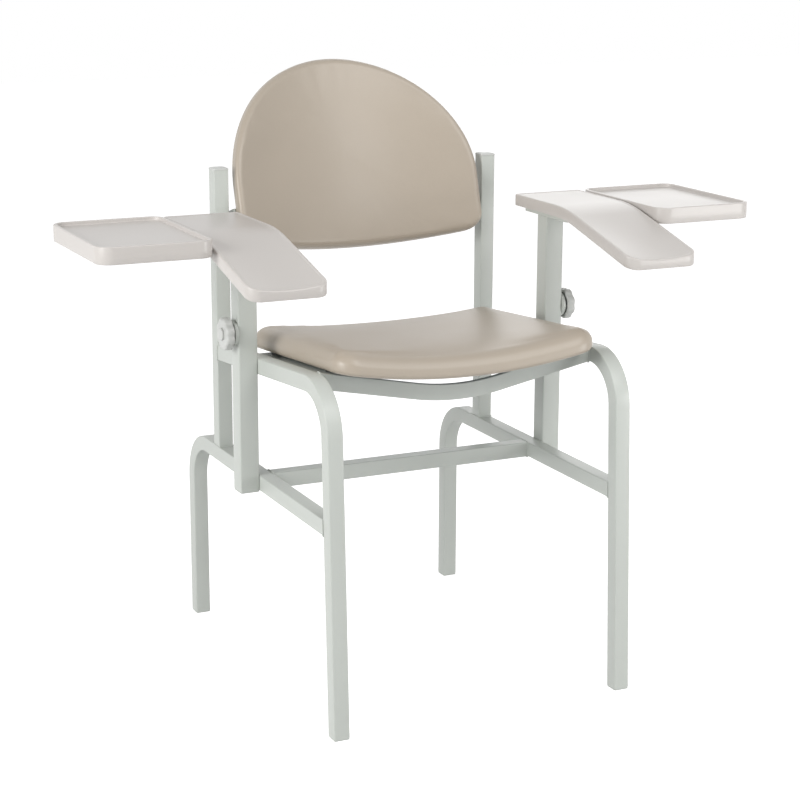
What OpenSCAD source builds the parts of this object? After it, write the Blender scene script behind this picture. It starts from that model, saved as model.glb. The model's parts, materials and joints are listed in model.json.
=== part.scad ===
/* [Frame] */
// Side of the square frame tube
tube = 26; // [20:1:32]
// Wall of the frame tube
tube_wall = 1.5; // [1:0.5:3]
// Width over the two side frames
frame_w = 528; // [440:1:640]
// Depth from the front of the front feet to the back of the rear legs
frame_d = 664; // [580:1:760]
// Radius of the tube bends at the tube's centreline
bend_r = 75; // [50:1:100]
// Height of the lower rail's top
lower_rail_top = 348; // [280:1:420]
// Height of the seat rail's top, level with the arm posts
seat_rail_top = 543; // [500:1:640]
// Fall of the seat rail towards the back, in degrees
rail_fall = 4.7; // [2:0.1:7]
// Lean of the front legs, in degrees
leg_lean = 2.6; // [1:0.1:5]
// Height of the back uprights
upright_top = 826; // [790:1:900]
// Distance from the rear leg's back face to the upright's back face
upright_setback = 136.5; // [100:0.5:170]
// Distance from the rear leg's back face to the middle of the arm posts
post_setback = 339; // [300:1:380]
// Foot glide height
glide_h = 4; // [2:0.5:8]
// Depth that plugs and caps reach into a tube
plug_depth = 18; // [10:1:30]

/* [Seat] */
// Gap between the seat and the side frames
seat_side_gap = 10.5; // [3:0.5:20]
// Seat depth
seat_d = 390; // [370:1:430]
// Height of the seat's underside over the rails
seat_lift = 2; // [2:0.5:10]
// Thickness of the seat at its edge
seat_edge_t = 37; // [30:1:45]
// Rise of the cushion's crown over its edge
seat_crown = 3.5; // [2:0.5:12]
// Dish across the seat's width at its front
seat_dish_front = 24; // [10:1:26]
// Dish across the seat's width at its back
seat_dish_back = 10.5; // [6:0.5:20]
// Thickness of the seat pan
pan_t = 9; // [6:1:15]
// Height of the seat bars
bar_h = 26; // [20:1:32]
// Thickness of the front seat bar
front_bar_t = 9; // [6:1:14]
// Dip of the front seat bar in its middle
front_bar_dip = 37; // [20:1:45]

/* [Back] */
// Gap between the back pad and the uprights
back_side_gap = 12; // [12:0.5:20]
// Height of the arch over the pad's widest line
back_arch = 225; // [180:1:260]
// Depth of the pad under its widest line
back_lower = 98.5; // [85:0.5:130]
// Forward wrap of the pad's sides
back_wrap = 69; // [60:1:80]
// Radius of the pad's lower corners
back_corner = 26; // [15:1:40]
// Bow of the pad's lower edge
back_bow = 10.5; // [0:0.5:14]
// Lean of the back pad at rest, in degrees
back_lean = 17; // [12:0.5:20]
// Thickness of the back board
board_t = 10; // [8:0.5:14]
// Thickness of the back cushion
back_t = 20; // [16:1:30]
// Height of the back pad's pivot
pivot_z = 742; // [730:1:790]

/* [Arms] */
// Side of the square arm sleeve
sleeve = 33; // [31:1:38]
// Wall of the arm sleeve
sleeve_wall = 2; // [1.5:0.5:2.5]
// Height of the arm's top when it is at its lowest
arm_top = 769.5; // [750:0.5:820]
// Armrest width
arm_w = 129; // [110:1:150]
// Armrest depth, front to back
arm_d = 389; // [340:1:430]
// Armrest rim thickness
arm_t = 20; // [15:0.5:26]
// Flat length at the back of the armrest
arm_flat = 178; // [175:1:240]
// Slope of the armrest's front part, in degrees
arm_slope = 14; // [8:0.5:20]
// Radius between the flat and the slope
arm_bend_r = 300; // [200:10:400]
// Radius of the armrest's front corners
arm_corner = 21; // [12:1:30]
// Arm plate width
plate_w = 38; // [30:1:50]
// Arm plate thickness
plate_t = 6; // [4:0.5:8]

/* [Trays] */
// Tray width
tray_w = 183; // [130:1:220]
// Tray depth, front to back
tray_d = 263; // [240:1:300]
// Tray height
tray_h = 27; // [20:1:35]
// Recess of the tray's floor under its rim
tray_recess = 6; // [5:0.5:12]
// Rim width
tray_rim = 6; // [4:0.5:12]
// Corner radius
tray_corner = 24; // [12:1:40]

/* [Clamp knobs] */
// Knob diameter over its lobes
knob_d = 57; // [40:1:60]
// Knob thickness
knob_t = 14; // [14:1:24]
// Height of the knobs
knob_z = 587; // [570:1:640]
// Stud diameter
stud_d = 8; // [6:1:10]

/* [Hidden] */
$fn = 64;

// Fits and small shared sizes
fit = 0.1;
soft_gap = 0.3;
run_gap = 0.2;
cut = 1;
far = 900;
frame_colour = [0.76, 0.78, 0.75];
plastic_colour = [0.84, 0.82, 0.80];
vinyl_colour = [0.71, 0.66, 0.59];
steel_colour = [0.62, 0.64, 0.64];
dark_colour = [0.33, 0.35, 0.35];

// Frame places
side_x = frame_w / 2 - tube / 2;
rail_inner_x = frame_w / 2 - tube;
foot_y = -frame_d / 2;
rear_leg_y = frame_d / 2 - tube / 2;
lower_rail_z = lower_rail_top - tube / 2;
upright_y = frame_d / 2 - upright_setback - tube / 2;
upright_front = upright_y - tube / 2;
post_y = frame_d / 2 - post_setback;
post_x = frame_w / 2 + sleeve / 2;
sleeve_outer_x = frame_w / 2 + sleeve;
bend_angle = 90 - leg_lean + rail_fall;
// Height of the seat rail's centreline at a place along the depth
function rail_z(y) = seat_rail_top - tube / 2 / cos(rail_fall) - (y - post_y) * tan(rail_fall);
// The front leg's centreline meets the floor half a tube behind its front face
leg_foot_y = foot_y + tube / 2 / cos(leg_lean);
// Straight part of the front leg, so that the rail after the bend lies on rail_z
bend_out_y = bend_r * (1 - cos(bend_angle));
bend_out_z = bend_r * sin(bend_angle);
leg_run = (rail_z(leg_foot_y) - bend_out_y * (cos(leg_lean) * tan(rail_fall) - sin(leg_lean))
  - bend_out_z * (cos(leg_lean) + sin(leg_lean) * tan(rail_fall)))
  / (cos(leg_lean) + sin(leg_lean) * tan(rail_fall));
rail_run = frame_d;

// Seat places: the seat's own frame lies on the rails and falls with them
seat_w = frame_w - 2 * tube - 2 * seat_side_gap;
seat_set = 57;
front_bar_set = 116;
rear_bar_set = 36;
rear_bar_size = 22;
seat_front = foot_y + seat_set;
seat_mid_y = seat_front + seat_d / 2;
seat_corner = 35;
seat_low_edge = 7;
seat_round = 26;
seat_round_h = 23;
pan_inset = 13;
tab_w = 34;
tab_t = 3;
tab_reach = 42;
tab_under = 5;
tab_end_gap = 1;
spacer_d = 16;
seat_screw_d = 5;
seat_head_d = 10;
seat_head_t = 3;
front_bar_y = foot_y + front_bar_set;
rear_bar_y = seat_front + seat_d - rear_bar_set;
tab_gap = 8;
tab_front = front_bar_y + front_bar_t / 2 + tab_gap + tab_w / 2;
tab_back = rear_bar_y - rear_bar_size / 2 - tab_gap - tab_w / 2;
front_bar_r = (pow(rail_inner_x, 2) + pow(front_bar_dip, 2)) / 2 / front_bar_dip;

// Back places, in the pad's own frame: x across, y up the pad, z towards the sitter
back_w = frame_w - 2 * tube - 2 * back_side_gap;
back_mid = 50;
back_axis_off = 56;
board_inset = 12;
back_rear_edge = 6;
back_round = 13;
bracket_t = 3;
bracket_behind = 10;
bracket_ahead = 16;
bracket_over = 14;
bracket_l = 48;
flange_touch = 18;
flange_in = 20;
pivot_d = 10;
pivot_bush_wall = 2;
pivot_tip = 4;
back_screw_d = 4;
back_screw_l = 11;
back_screw_in = 9;
back_head_d = 8;
back_head_t = 1.8;

// Arm places
arm_under = arm_top - arm_t;
plate_under = arm_under - plate_t;
sleeve_top = plate_under - cut;
sleeve_bottom = lower_rail_top - tube + cut;
sleeve_bore = sleeve - 2 * sleeve_wall;
post_w = sleeve_bore - 2 * sleeve_wall;
bush_len = 40;
slider_h = 22;
post_gap = 32.5;
post_len = plate_under - sleeve_bottom - plug_depth - slider_h - post_gap;
nut_w = 15;
nut_t = 9.5;
collar_d = 42;
collar_t = 6;
plate_back = 48;
plate_front = 44;
plate_tab = 24;
slot_w = 6.6;
slot_l = 16;
slot_edge = 9;
arm_behind = 86.5;
arm_inward = 8;
arm_back = post_y + arm_behind;
arm_in_x = frame_w / 2 - arm_inward;
arm_back_corner = 6;
arm_screw_d = 5;
arm_screw_head = 10;
arm_screw_head_t = 3;
arm_screw_bite = 9;
tray_gap = 3.2;
tray_rise = 1.8;
tray_x0 = arm_in_x + arm_w + tray_gap;
tray_top = arm_top + tray_rise;
strap_w = 36;
strap_t = 3;
strap_lap = 40;
strap_at_shares = [0.18, 0.45];
strap_reach = 108;
tray_screw_shares = [0.26, 0.82];

// Knob places
knob_lap = 1;
knob_back_x = sleeve_outer_x + nut_t - knob_lap;
knob_lobes = 8;
knob_lobe_d = 13;
knob_rim = 5;
knob_hub_d = 18;
knob_face = 4;
knob_cap_d = 20;
knob_cap_t = 3;

// Square tube standing on the origin along Z
module square_tube(length, size = tube, wall = tube_wall) {
  difference() {
    translate([-size / 2, -size / 2, 0]) cube([size, size, length]);
    translate([wall - size / 2, wall - size / 2, -cut]) cube([size - 2 * wall, size - 2 * wall, length + 2 * cut]);
  }
}

// Side outline of a bent tube, h either side of its centreline: it starts at the origin along
// a direction that leans by lean, runs first, turns by angle towards +Y, and runs last
bend_steps = 24;
function heading(a) = [sin(a), cos(a)];
function across(a) = [-cos(a), sin(a)];
function bent_edge(lean, first, angle, last, h) =
  let (hub = heading(lean) * first - across(lean) * bend_r, end = lean + angle)
  concat([across(lean) * h],
    [for (i = [0 : bend_steps]) hub + across(lean + angle * i / bend_steps) * (bend_r + h)],
    [hub + across(end) * (bend_r + h) + heading(end) * last]);
function reversed(v) = [for (i = [len(v) - 1 : -1 : 0]) v[i]];
module bent_outline(lean, first, angle, last, h) {
  polygon(concat(bent_edge(lean, first, angle, last, h), reversed(bent_edge(lean, first, angle, last, -h))));
}

// Hollow square tube along that outline, in the plane of Y and Z
module bent_tube(lean, first, angle, last) {
  rotate([90, 0, 90]) difference() {
    linear_extrude(height = tube, center = true) bent_outline(lean, first, angle, last, tube / 2);
    linear_extrude(height = tube - 2 * tube_wall, center = true) bent_outline(lean, first, angle, last, tube / 2 - tube_wall);
  }
}

module on_side(side) {
  translate([side * side_x, 0, 0]) children();
}

// Front leg's own frame: origin on the floor, Z up along the leg
module leg_frame() {
  translate([0, leg_foot_y, 0]) rotate([-leg_lean, 0, 0]) children();
}

// The open ends of both tubes are cut back by the difference, so that the bore runs out of them
module front_leg_tube(side) {
  color(frame_colour) on_side(side) difference() {
    translate([0, leg_foot_y, 0]) bent_tube(leg_lean, leg_run, bend_angle, rail_run);
    translate([-tube, foot_y - tube, -far + glide_h]) cube([2 * tube, 3 * tube, far]);
    translate([-tube, upright_front, 0]) cube([2 * tube, far, far]);
  }
}

module rear_leg_tube(side) {
  color(frame_colour) on_side(side) difference() {
    translate([0, rear_leg_y, 0]) rotate([0, 0, 180]) bent_tube(0, lower_rail_z - bend_r, 90, frame_d - bend_r - tube);
    translate([-tube, rear_leg_y - tube, -far + glide_h]) cube([2 * tube, 2 * tube, far]);
    leg_frame() translate([-tube, tube / 2 - far, 0]) cube([2 * tube, far, far]);
  }
}

module upright(side) {
  color(frame_colour) on_side(side) difference() {
    translate([0, upright_y, lower_rail_top]) square_tube(upright_top - lower_rail_top);
    translate([-side * tube / 2, upright_y, pivot_z]) rotate([0, 90, 0])
      cylinder(h = 4 * tube_wall, d = pivot_d + 2 * fit, center = true);
  }
}

module arm_sleeve(side) {
  color(frame_colour) difference() {
    translate([side * post_x, post_y, sleeve_bottom]) square_tube(sleeve_top - sleeve_bottom, sleeve, sleeve_wall);
    translate([side * sleeve_outer_x, post_y, knob_z]) rotate([0, 90, 0])
      cylinder(h = 4 * sleeve_wall, d = stud_d + 2 * fit, center = true);
  }
}

module lower_crossbar() {
  color(frame_colour) translate([-rail_inner_x, post_y, lower_rail_z]) rotate([0, 90, 0]) square_tube(2 * rail_inner_x);
}

// Flat bar bent to a shallow arc between the seat rails
module front_seat_bar() {
  top_z = rail_z(front_bar_y) + bar_h / 2;
  color(frame_colour) translate([0, front_bar_y, top_z - front_bar_dip + front_bar_r]) rotate([90, 0, 0])
    linear_extrude(height = front_bar_t, center = true) intersection() {
      difference() {
        circle(r = front_bar_r + bar_h, $fn = 360);
        circle(r = front_bar_r, $fn = 360);
      }
      translate([-rail_inner_x, -front_bar_r - 2 * bar_h]) square([2 * rail_inner_x, front_bar_dip + 2 * bar_h + bar_h]);
    }
}

// Straight tube under the pan's middle, tipped with the rails
module rear_seat_bar() {
  color(frame_colour) seat_frame()
    translate([-rail_inner_x, rear_bar_y - seat_mid_y, seat_low([0, rear_bar_y - seat_mid_y - rear_bar_size / 2]) - soft_gap - rear_bar_size / 2])
    rotate([0, 90, 0]) square_tube(2 * rail_inner_x, rear_bar_size, tube_wall);
}

// Seat frame: origin in the middle of the seat, level with the rails' tops, tipped with them
module seat_frame() {
  translate([0, seat_mid_y, rail_z(seat_mid_y) + tube / 2 / cos(rail_fall)]) rotate([-rail_fall, 0, 0]) children();
}

// Closed skin through rings of points, with a point at each end; turned faces run the other way round
module skin(rings, first, last, turned = false) {
  n = len(rings[0]);
  m = len(rings);
  points = concat([first], [for (r = rings) each r], [last]);
  low_cap = [for (i = [0 : n - 1]) [0, 1 + i, 1 + (i + 1) % n]];
  walls = [for (k = [0 : m - 2], i = [0 : n - 1], half = [0, 1])
    let (a = 1 + k * n + i, b = 1 + k * n + (i + 1) % n, c = a + n, d = b + n)
    half == 0 ? [a, c, b] : [b, c, d]];
  top = 1 + m * n;
  base = 1 + (m - 1) * n;
  high_cap = [for (i = [0 : n - 1]) [top, base + (i + 1) % n, base + i]];
  faces = concat(low_cap, walls, high_cap);
  polyhedron(points = points, faces = turned ? [for (f = faces) reversed(f)] : faces, convexity = 6);
}

// Points round one quarter of a rounded oblong: its corner, then the side that follows
corner_steps = 5;
side_steps = 8;
function corner_points(quarter, a, b, radius) =
  let (c = [[a, b], [-a, b], [-a, -b], [a, -b]][quarter] - radius * [[1, 1], [-1, 1], [-1, -1], [1, -1]][quarter])
  [for (i = [0 : corner_steps]) let (t = 90 * (quarter + i / corner_steps)) c + radius * [cos(t), sin(t)]];
function oblong(a, b, radius) = [for (quarter = [0 : 3])
  let (here = corner_points(quarter, a, b, radius), next = corner_points((quarter + 1) % 4, a, b, radius),
    start = here[corner_steps], run = next[0] - start)
  each concat(here, [for (i = [1 : side_steps - 1]) start + run * i / side_steps])];

// Seat outline and the dish that its pan and cushion share
// Shares of the outline for rings that run from the middle outwards, and back
flat_shares = [0.16, 0.4, 0.64, 0.84];
flat_in_shares = [0.84, 0.64, 0.4, 0.16];
edge_steps = 5;
// Cushion crown, inwards: shares of the outline, and of the crown's rise
seat_crown_shares = [[0.72, 0.55], [0.46, 0.9], [0.2, 1]];
function seat_dip(y) = seat_dish_back + (seat_dish_front - seat_dish_back) * (0.5 - y / seat_d);
function seat_low(p) = seat_lift - seat_dip(p[1]) * (1 - pow(2 * p[0] / seat_w, 2));
function seat_ring(share, inset, height) =
  [for (o = oblong(seat_w / 2 - inset, seat_d / 2 - inset, seat_corner - inset))
    let (p = o * share) [p[0], p[1], height + seat_low(p)]];

module seat_pan() {
  color(dark_colour) seat_frame() difference() {
    skin(concat(
      [for (k = flat_shares) seat_ring(k, 0, pan_t)],
      [seat_ring(1, pan_inset, pan_t), seat_ring(1, pan_inset, 0)],
      [for (k = flat_in_shares) seat_ring(k, 0, 0)]),
      [0, 0, pan_t + seat_low([0, 0])], [0, 0, seat_low([0, 0])], true);
    seat_screw_places() cylinder(h = 2 * (seat_screw_top + fit), d = seat_screw_d, center = true);
  }
}

// The cushion's cover wraps round the pan's edge and ends flush with its underside
module seat_cushion() {
  low = pan_t + soft_gap;
  high = seat_edge_t;
  color(vinyl_colour) seat_frame() skin(concat(
    [for (k = flat_shares) seat_ring(k, 0, low)],
    [seat_ring(1, pan_inset - soft_gap, low), seat_ring(1, pan_inset - soft_gap, 0)],
    [for (i = [0 : 3]) seat_ring(1, seat_low_edge * (1 - sin(30 * i)), seat_low_edge * (1 - cos(30 * i)))],
    [for (i = [0 : edge_steps]) let (t = 90 * i / edge_steps)
      seat_ring(1, seat_round * (1 - cos(t)), high - seat_round_h * (1 - sin(t)))],
    [for (c = seat_crown_shares) seat_ring(c[0], 0, high + c[1] * seat_crown)]),
    [0, 0, low + seat_low([0, 0])], [0, 0, high + seat_crown + seat_low([0, 0])]);
}

// Strips inside the rails, between the seat bars, that carry the pan on spacers, with their screws
tab_x = rail_inner_x - tab_reach;
tab_start = front_bar_y + front_bar_t / 2 + tab_end_gap;
tab_end = rear_bar_y - rear_bar_size / 2 - tab_end_gap;
seat_screw_in = 10;
seat_screw_top = seat_lift + 2;
module seat_screw_places() {
  for (sx = [-1, 1], y = [tab_front, tab_back])
    translate([sx * (tab_x + seat_screw_in), y - seat_mid_y, 0]) children();
}

module seat_tabs() {
  color(frame_colour) seat_frame() difference() {
    for (sx = [-1, 1])
      translate([sx * (tab_x + tab_reach / 2) - tab_reach / 2, tab_start - seat_mid_y, -tab_under - tab_t])
        cube([tab_reach, tab_end - tab_start, tab_t]);
    seat_screw_places() cylinder(h = 4 * pan_t, d = seat_screw_d + 2 * fit, center = true);
  }
}

module seat_spacers() {
  edge_x = tab_x + seat_screw_in - spacer_d / 2;
  color(dark_colour) seat_frame() difference() {
    for (sx = [-1, 1], y = [tab_front, tab_back])
      translate([sx * (tab_x + seat_screw_in), y - seat_mid_y, -tab_under])
        cylinder(h = seat_low([edge_x, y - seat_mid_y - spacer_d / 2]) - soft_gap / 2 + tab_under, d = spacer_d);
    seat_screw_places() cylinder(h = 4 * pan_t, d = seat_screw_d + 2 * fit, center = true);
  }
}

module seat_screws() {
  color(steel_colour) seat_frame() seat_screw_places() {
    translate([0, 0, -tab_under - tab_t]) cylinder(h = tab_under + tab_t + seat_screw_top, d = seat_screw_d);
    translate([0, 0, -tab_under - tab_t - seat_head_t]) cylinder(h = seat_head_t, d = seat_head_d);
  }
}

// Back frame: the pad's own axes at the pivot, so that a lean turns it about the pivot
module back_frame() {
  translate([0, upright_y, pivot_z]) rotate([-back_lean, 0, 0]) children();
}

// Outline of the pad: an arch over its widest line, straight sides and rounded corners under it
back_arch_n = 1.96;
arch_steps = 30;
function arch_point(t, a, b) = [a * sign(cos(t)) * pow(abs(cos(t)), 2 / back_arch_n), b * pow(sin(t), 2 / back_arch_n)];
function bowed(p, a, b) = p[1] > 0 ? p : [p[0], p[1] - back_bow * (1 - pow(p[0] / a, 2)) * pow(p[1] / b, 2)];
function pad_outline(a, up, down, radius) = let (low = oblong(a, down, radius), n = len(low) / 2)
  concat([for (i = [0 : arch_steps]) arch_point(180 * i / arch_steps, a, up)],
    [for (i = [n - side_steps / 2 + 1 : 2 * n - side_steps / 2 - 1]) bowed(low[i], a, down)]);
function back_outline(inset) =
  pad_outline(back_w / 2 - inset, back_arch - inset, back_lower - inset, back_corner - inset);

// Place of a point of the pad: x across, s up the pad, d in front of the board's back
function back_skin(x) = back_axis_off - back_wrap * pow(2 * x / back_w, 2);
function back_place(p, d) = [p[0], back_skin(p[0]) - d, p[1] + back_mid];
function back_ring(share, inset, d) = [for (o = back_outline(inset)) back_place(o * share, d)];

module back_board() {
  color(dark_colour) back_frame() difference() {
    skin(concat(
      [for (k = flat_shares) back_ring(k, 0, 0)],
      [back_ring(1, board_inset, 0), back_ring(1, board_inset, board_t)],
      [for (k = flat_in_shares) back_ring(k, 0, board_t)]),
      back_place([0, 0], 0), back_place([0, 0], board_t), true);
    back_screw_places() cylinder(h = 2 * (back_screw_l - bracket_t), d = back_screw_d, center = true);
  }
}

// The cushion's cover wraps round the board's edge and ends flush with its back
module back_cushion() {
  low = board_t + soft_gap;
  high = low + back_t;
  color(vinyl_colour) back_frame() skin(concat(
    [for (k = flat_shares) back_ring(k, 0, high)],
    [for (i = [edge_steps : -1 : 0]) let (t = 90 * i / edge_steps)
      back_ring(1, back_round * (1 - cos(t)), high - back_round * (1 - sin(t)))],
    [for (i = [3 : -1 : 1]) back_ring(1, back_rear_edge * (1 - sin(30 * i)), back_rear_edge * (1 - cos(30 * i)))],
    [back_ring(1, board_inset - soft_gap, 0), back_ring(1, board_inset - soft_gap, low)],
    [for (k = flat_in_shares) back_ring(k, 0, low)]),
    back_place([0, 0], high), back_place([0, 0], low));
}

// Brackets of the pad: side strips that turn on the studs, with a flange against the board's back
bracket_x = back_w / 2 + soft_gap;
flange_x = back_w / 2 - flange_touch;
flange_turn = atan(8 * back_wrap * flange_x / pow(back_w, 2));
back_screw_share = 0.3;
bracket_mid = bracket_over - bracket_l / 2;
// Frame of the right flange, or of the left one: x outwards along it, y away from the pad
module flange_frame(side) {
  mirror([side < 0 ? 1 : 0, 0, 0]) translate([flange_x, back_skin(flange_x), 0]) rotate([0, 0, -flange_turn]) children();
}
// Screw places on the flange's front face, Z into the board
module back_screw_places() {
  for (sx = [-1, 1], sz = [-1, 1]) flange_frame(sx)
    translate([-back_screw_in, soft_gap, bracket_mid + sz * back_screw_share * bracket_l]) rotate([90, 0, 0]) children();
}

// The bracket in plan: one outline of the strip and the flange, which ends inside the strip
module bracket_outline() {
  t = [cos(flange_turn), -sin(flange_turn)];
  n = [sin(flange_turn), cos(flange_turn)];
  touch = [flange_x, back_skin(flange_x)];
  front = touch + soft_gap * n;
  back = front + bracket_t * n;
  meet = (bracket_x - front[0]) / t[0];
  meet_back = (bracket_x - back[0]) / t[0];
  polygon([front - flange_in * t, front + meet * t, [bracket_x, -bracket_ahead], [bracket_x + bracket_t, -bracket_ahead],
    [bracket_x + bracket_t, bracket_behind], [bracket_x, bracket_behind], back + meet_back * t, back - flange_in * t]);
}

module back_brackets() {
  color(dark_colour) back_frame() difference() {
    for (sx = [-1, 1]) mirror([sx < 0 ? 1 : 0, 0, 0]) translate([0, 0, bracket_over - bracket_l])
      linear_extrude(height = bracket_l) bracket_outline();
    rotate([0, 90, 0]) cylinder(h = frame_w, d = pivot_d + 2 * pivot_bush_wall, center = true);
    back_screw_places() cylinder(h = 4 * bracket_t, d = back_screw_d + 2 * fit, center = true);
  }
}

module back_screws() {
  color(steel_colour) back_frame() back_screw_places() {
    translate([0, 0, -bracket_t - back_head_t]) cylinder(h = back_head_t, d = back_head_d);
    translate([0, 0, -bracket_t]) cylinder(h = back_screw_l - cut, d = back_screw_d);
  }
}

module pivot_bushes() {
  color(plastic_colour) back_frame() for (sx = [-1, 1]) difference() {
    translate([sx * bracket_x, 0, 0]) rotate([0, sx * 90, 0]) {
      cylinder(h = rail_inner_x - bracket_x - run_gap, d = pivot_d + 2 * pivot_bush_wall);
      translate([0, 0, bracket_t]) cylinder(h = rail_inner_x - bracket_x - bracket_t - run_gap, d = pivot_d + 4 * pivot_bush_wall);
    }
    rotate([0, 90, 0]) cylinder(h = frame_w, d = pivot_d + fit, center = true);
  }
}

module pivot_studs() {
  color(steel_colour) for (sx = [-1, 1])
    translate([sx * (bracket_x + soft_gap), upright_y, pivot_z]) rotate([0, sx * 90, 0])
      cylinder(h = rail_inner_x - bracket_x - soft_gap + pivot_tip, d = pivot_d);
}

// Plugs and caps
module foot_glides() {
  plug = tube - 2 * tube_wall - 2 * fit;
  color(dark_colour) for (side = [-1, 1]) on_side(side) {
    difference() {
      leg_frame() {
        translate([-tube / 2, -tube / 2, -glide_h]) cube([tube, tube, 2 * glide_h + cut]);
        translate([-plug / 2, -plug / 2, 0]) cube([plug, plug, glide_h + plug_depth]);
      }
      translate([-tube, foot_y - tube, -far]) cube([2 * tube, 3 * tube, far]);
      difference() {
        translate([-tube, foot_y - tube, glide_h]) cube([2 * tube, 3 * tube, 3 * glide_h]);
        leg_frame() translate([-plug / 2, -plug / 2, 0]) cube([plug, plug, far]);
      }
    }
    translate([-tube / 2, rear_leg_y - tube / 2, 0]) cube([tube, tube, glide_h]);
    translate([-plug / 2, rear_leg_y - plug / 2, 0]) cube([plug, plug, glide_h + plug_depth]);
  }
}

cap_t = 2.5;
cap_lip = 0.8;
module upright_caps() {
  plug = tube - 2 * tube_wall - 2 * fit;
  head = tube + 2 * cap_lip;
  color(plastic_colour) for (side = [-1, 1]) on_side(side) translate([0, upright_y, upright_top]) {
    translate([-head / 2, -head / 2, 0]) cube([head, head, cap_t]);
    translate([-plug / 2, -plug / 2, -plug_depth]) cube([plug, plug, plug_depth]);
  }
}

module sleeve_caps() {
  plug = sleeve_bore - 2 * fit;
  color(dark_colour) for (side = [-1, 1]) translate([side * post_x, post_y, sleeve_bottom]) {
    translate([-sleeve / 2, -sleeve / 2, -cap_t]) cube([sleeve, sleeve, cap_t]);
    translate([-plug / 2, -plug / 2, 0]) cube([plug, plug, plug_depth]);
  }
}

// Arm parts
module sleeve_bush(side) {
  outer = sleeve_bore;
  color(dark_colour) translate([side * post_x, post_y, sleeve_top - bush_len])
    square_tube(bush_len, outer, (outer - post_w) / 2 - run_gap);
}

module inner_post(side) {
  color(steel_colour) translate([side * post_x, post_y, plate_under - post_len]) square_tube(post_len, post_w, tube_wall);
}

module post_slider(side) {
  plug = post_w - 2 * tube_wall - 2 * fit;
  body = sleeve_bore - 2 * run_gap;
  color(dark_colour) translate([side * post_x, post_y, plate_under - post_len]) {
    translate([-body / 2, -body / 2, -slider_h]) cube([body, body, slider_h]);
    translate([-plug / 2, -plug / 2, 0]) cube([plug, plug, plug_depth]);
  }
}

// Arm profile seen from the side: y runs back to front, from 0 at the back edge
arm_bend_run = arm_bend_r * tan(arm_slope / 2);
function slope_drop(y) = (y - arm_flat) * tan(arm_slope);
module arm_profile(t, top_r, from, to) {
  // Flat stretch, arc about a centre below the top, and sloped stretch
  low = -t;
  intersection() {
    union() {
      translate([from, low]) square([arm_flat - arm_bend_run - from, t]);
      difference() {
        translate([arm_flat - arm_bend_run, -top_r]) circle(r = top_r, $fn = 240);
        translate([arm_flat - arm_bend_run, -top_r]) circle(r = top_r - t, $fn = 240);
        translate([arm_flat - arm_bend_run - 3 * top_r, -3 * top_r]) square([3 * top_r, 4 * top_r]);
        translate([arm_flat - arm_bend_run, -top_r]) rotate(-arm_slope) translate([0, -2 * top_r]) square([3 * top_r, 4 * top_r]);
      }
      translate([arm_flat, 0]) rotate(-arm_slope) translate([arm_bend_run, low]) square([2 * arm_d, t]);
    }
    translate([from, -arm_d]) square([to - from, 2 * arm_d]);
  }
}

// Turns a side profile into a solid of the given width, its back edge at arm_back
module from_side(width) {
  translate([width / 2, arm_back, arm_top]) rotate([90, 0, -90]) linear_extrude(height = width) children();
}

module rounded_plan(w, d, r_back, r_front) {
  // Corner at the origin is the inner back one; y runs forward
  union() {
    translate([r_back, -d / 2]) square([w - 2 * r_back, d / 2]);
    translate([0, -d / 2]) square([w, d / 2 - r_back]);
    for (x = [r_back, w - r_back]) translate([x, -r_back]) circle(r = r_back);
    translate([r_front, -d]) square([w - 2 * r_front, d / 2 + cut]);
    translate([0, -d + r_front]) square([w, d / 2 - r_front + cut]);
    for (x = [r_front, w - r_front]) translate([x, -d + r_front]) circle(r = r_front);
  }
}

module armrest(side) {
  color(plastic_colour) mirror([side < 0 ? 1 : 0, 0, 0]) difference() {
    intersection() {
      translate([arm_in_x + arm_w / 2, 0, 0]) from_side(arm_w) arm_profile(arm_t, arm_bend_r, 0, arm_d);
      translate([arm_in_x, arm_back, arm_top - arm_d]) linear_extrude(height = 2 * arm_d)
        rounded_plan(arm_w, arm_d, arm_back_corner, arm_corner);
    }
    arm_screw_places() cylinder(h = 2 * arm_screw_bite, d = arm_screw_d, center = true);
    strap_arm_screw_places() cylinder(h = 2 * arm_screw_bite, d = arm_screw_d, center = true);
  }
}

// Flat plate on the post's top, its front end bent down along the arm
module arm_plate(side) {
  length = plate_back + sleeve + plate_front;
  start = arm_back - post_y - sleeve / 2 - plate_back;
  color(dark_colour) mirror([side < 0 ? 1 : 0, 0, 0]) difference() {
    intersection() {
      translate([post_x, 0, -arm_t]) from_side(plate_w) arm_profile(plate_t, arm_bend_r - arm_t, start, start + length + plate_tab);
      translate([post_x - plate_w / 2, arm_back - start, plate_under - plate_w]) linear_extrude(height = 2 * plate_w)
        rounded_plan(plate_w, length + plate_tab, plate_w / 3, plate_w / 3);
    }
    for (dy = [slot_l / 2 - arm_screw_d / 2, 0, arm_screw_d / 2 - slot_l / 2]) arm_screw_places() translate([0, dy, 0])
      cylinder(h = 4 * plate_t, d = slot_w, center = true);
    arm_screw_places() cube([slot_w, slot_l - arm_screw_d, 4 * plate_t], center = true);
  }
}

// The two screws through the plate's slots, both under the flat stretch
module arm_screw_places() {
  for (dy = [sleeve / 2 + plate_back - slot_edge - slot_l / 2, -sleeve / 2 - slot_edge - slot_l / 2])
    translate([post_x, post_y + dy, arm_under]) children();
}

module arm_screws(side) {
  color(steel_colour) mirror([side < 0 ? 1 : 0, 0, 0]) {
    arm_screw_places() {
      translate([0, 0, -plate_t - arm_screw_head_t]) cylinder(h = arm_screw_head_t, d = arm_screw_head);
      translate([0, 0, -plate_t]) cylinder(h = plate_t + arm_screw_bite - cut, d = arm_screw_d);
    }
  }
}

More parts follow.
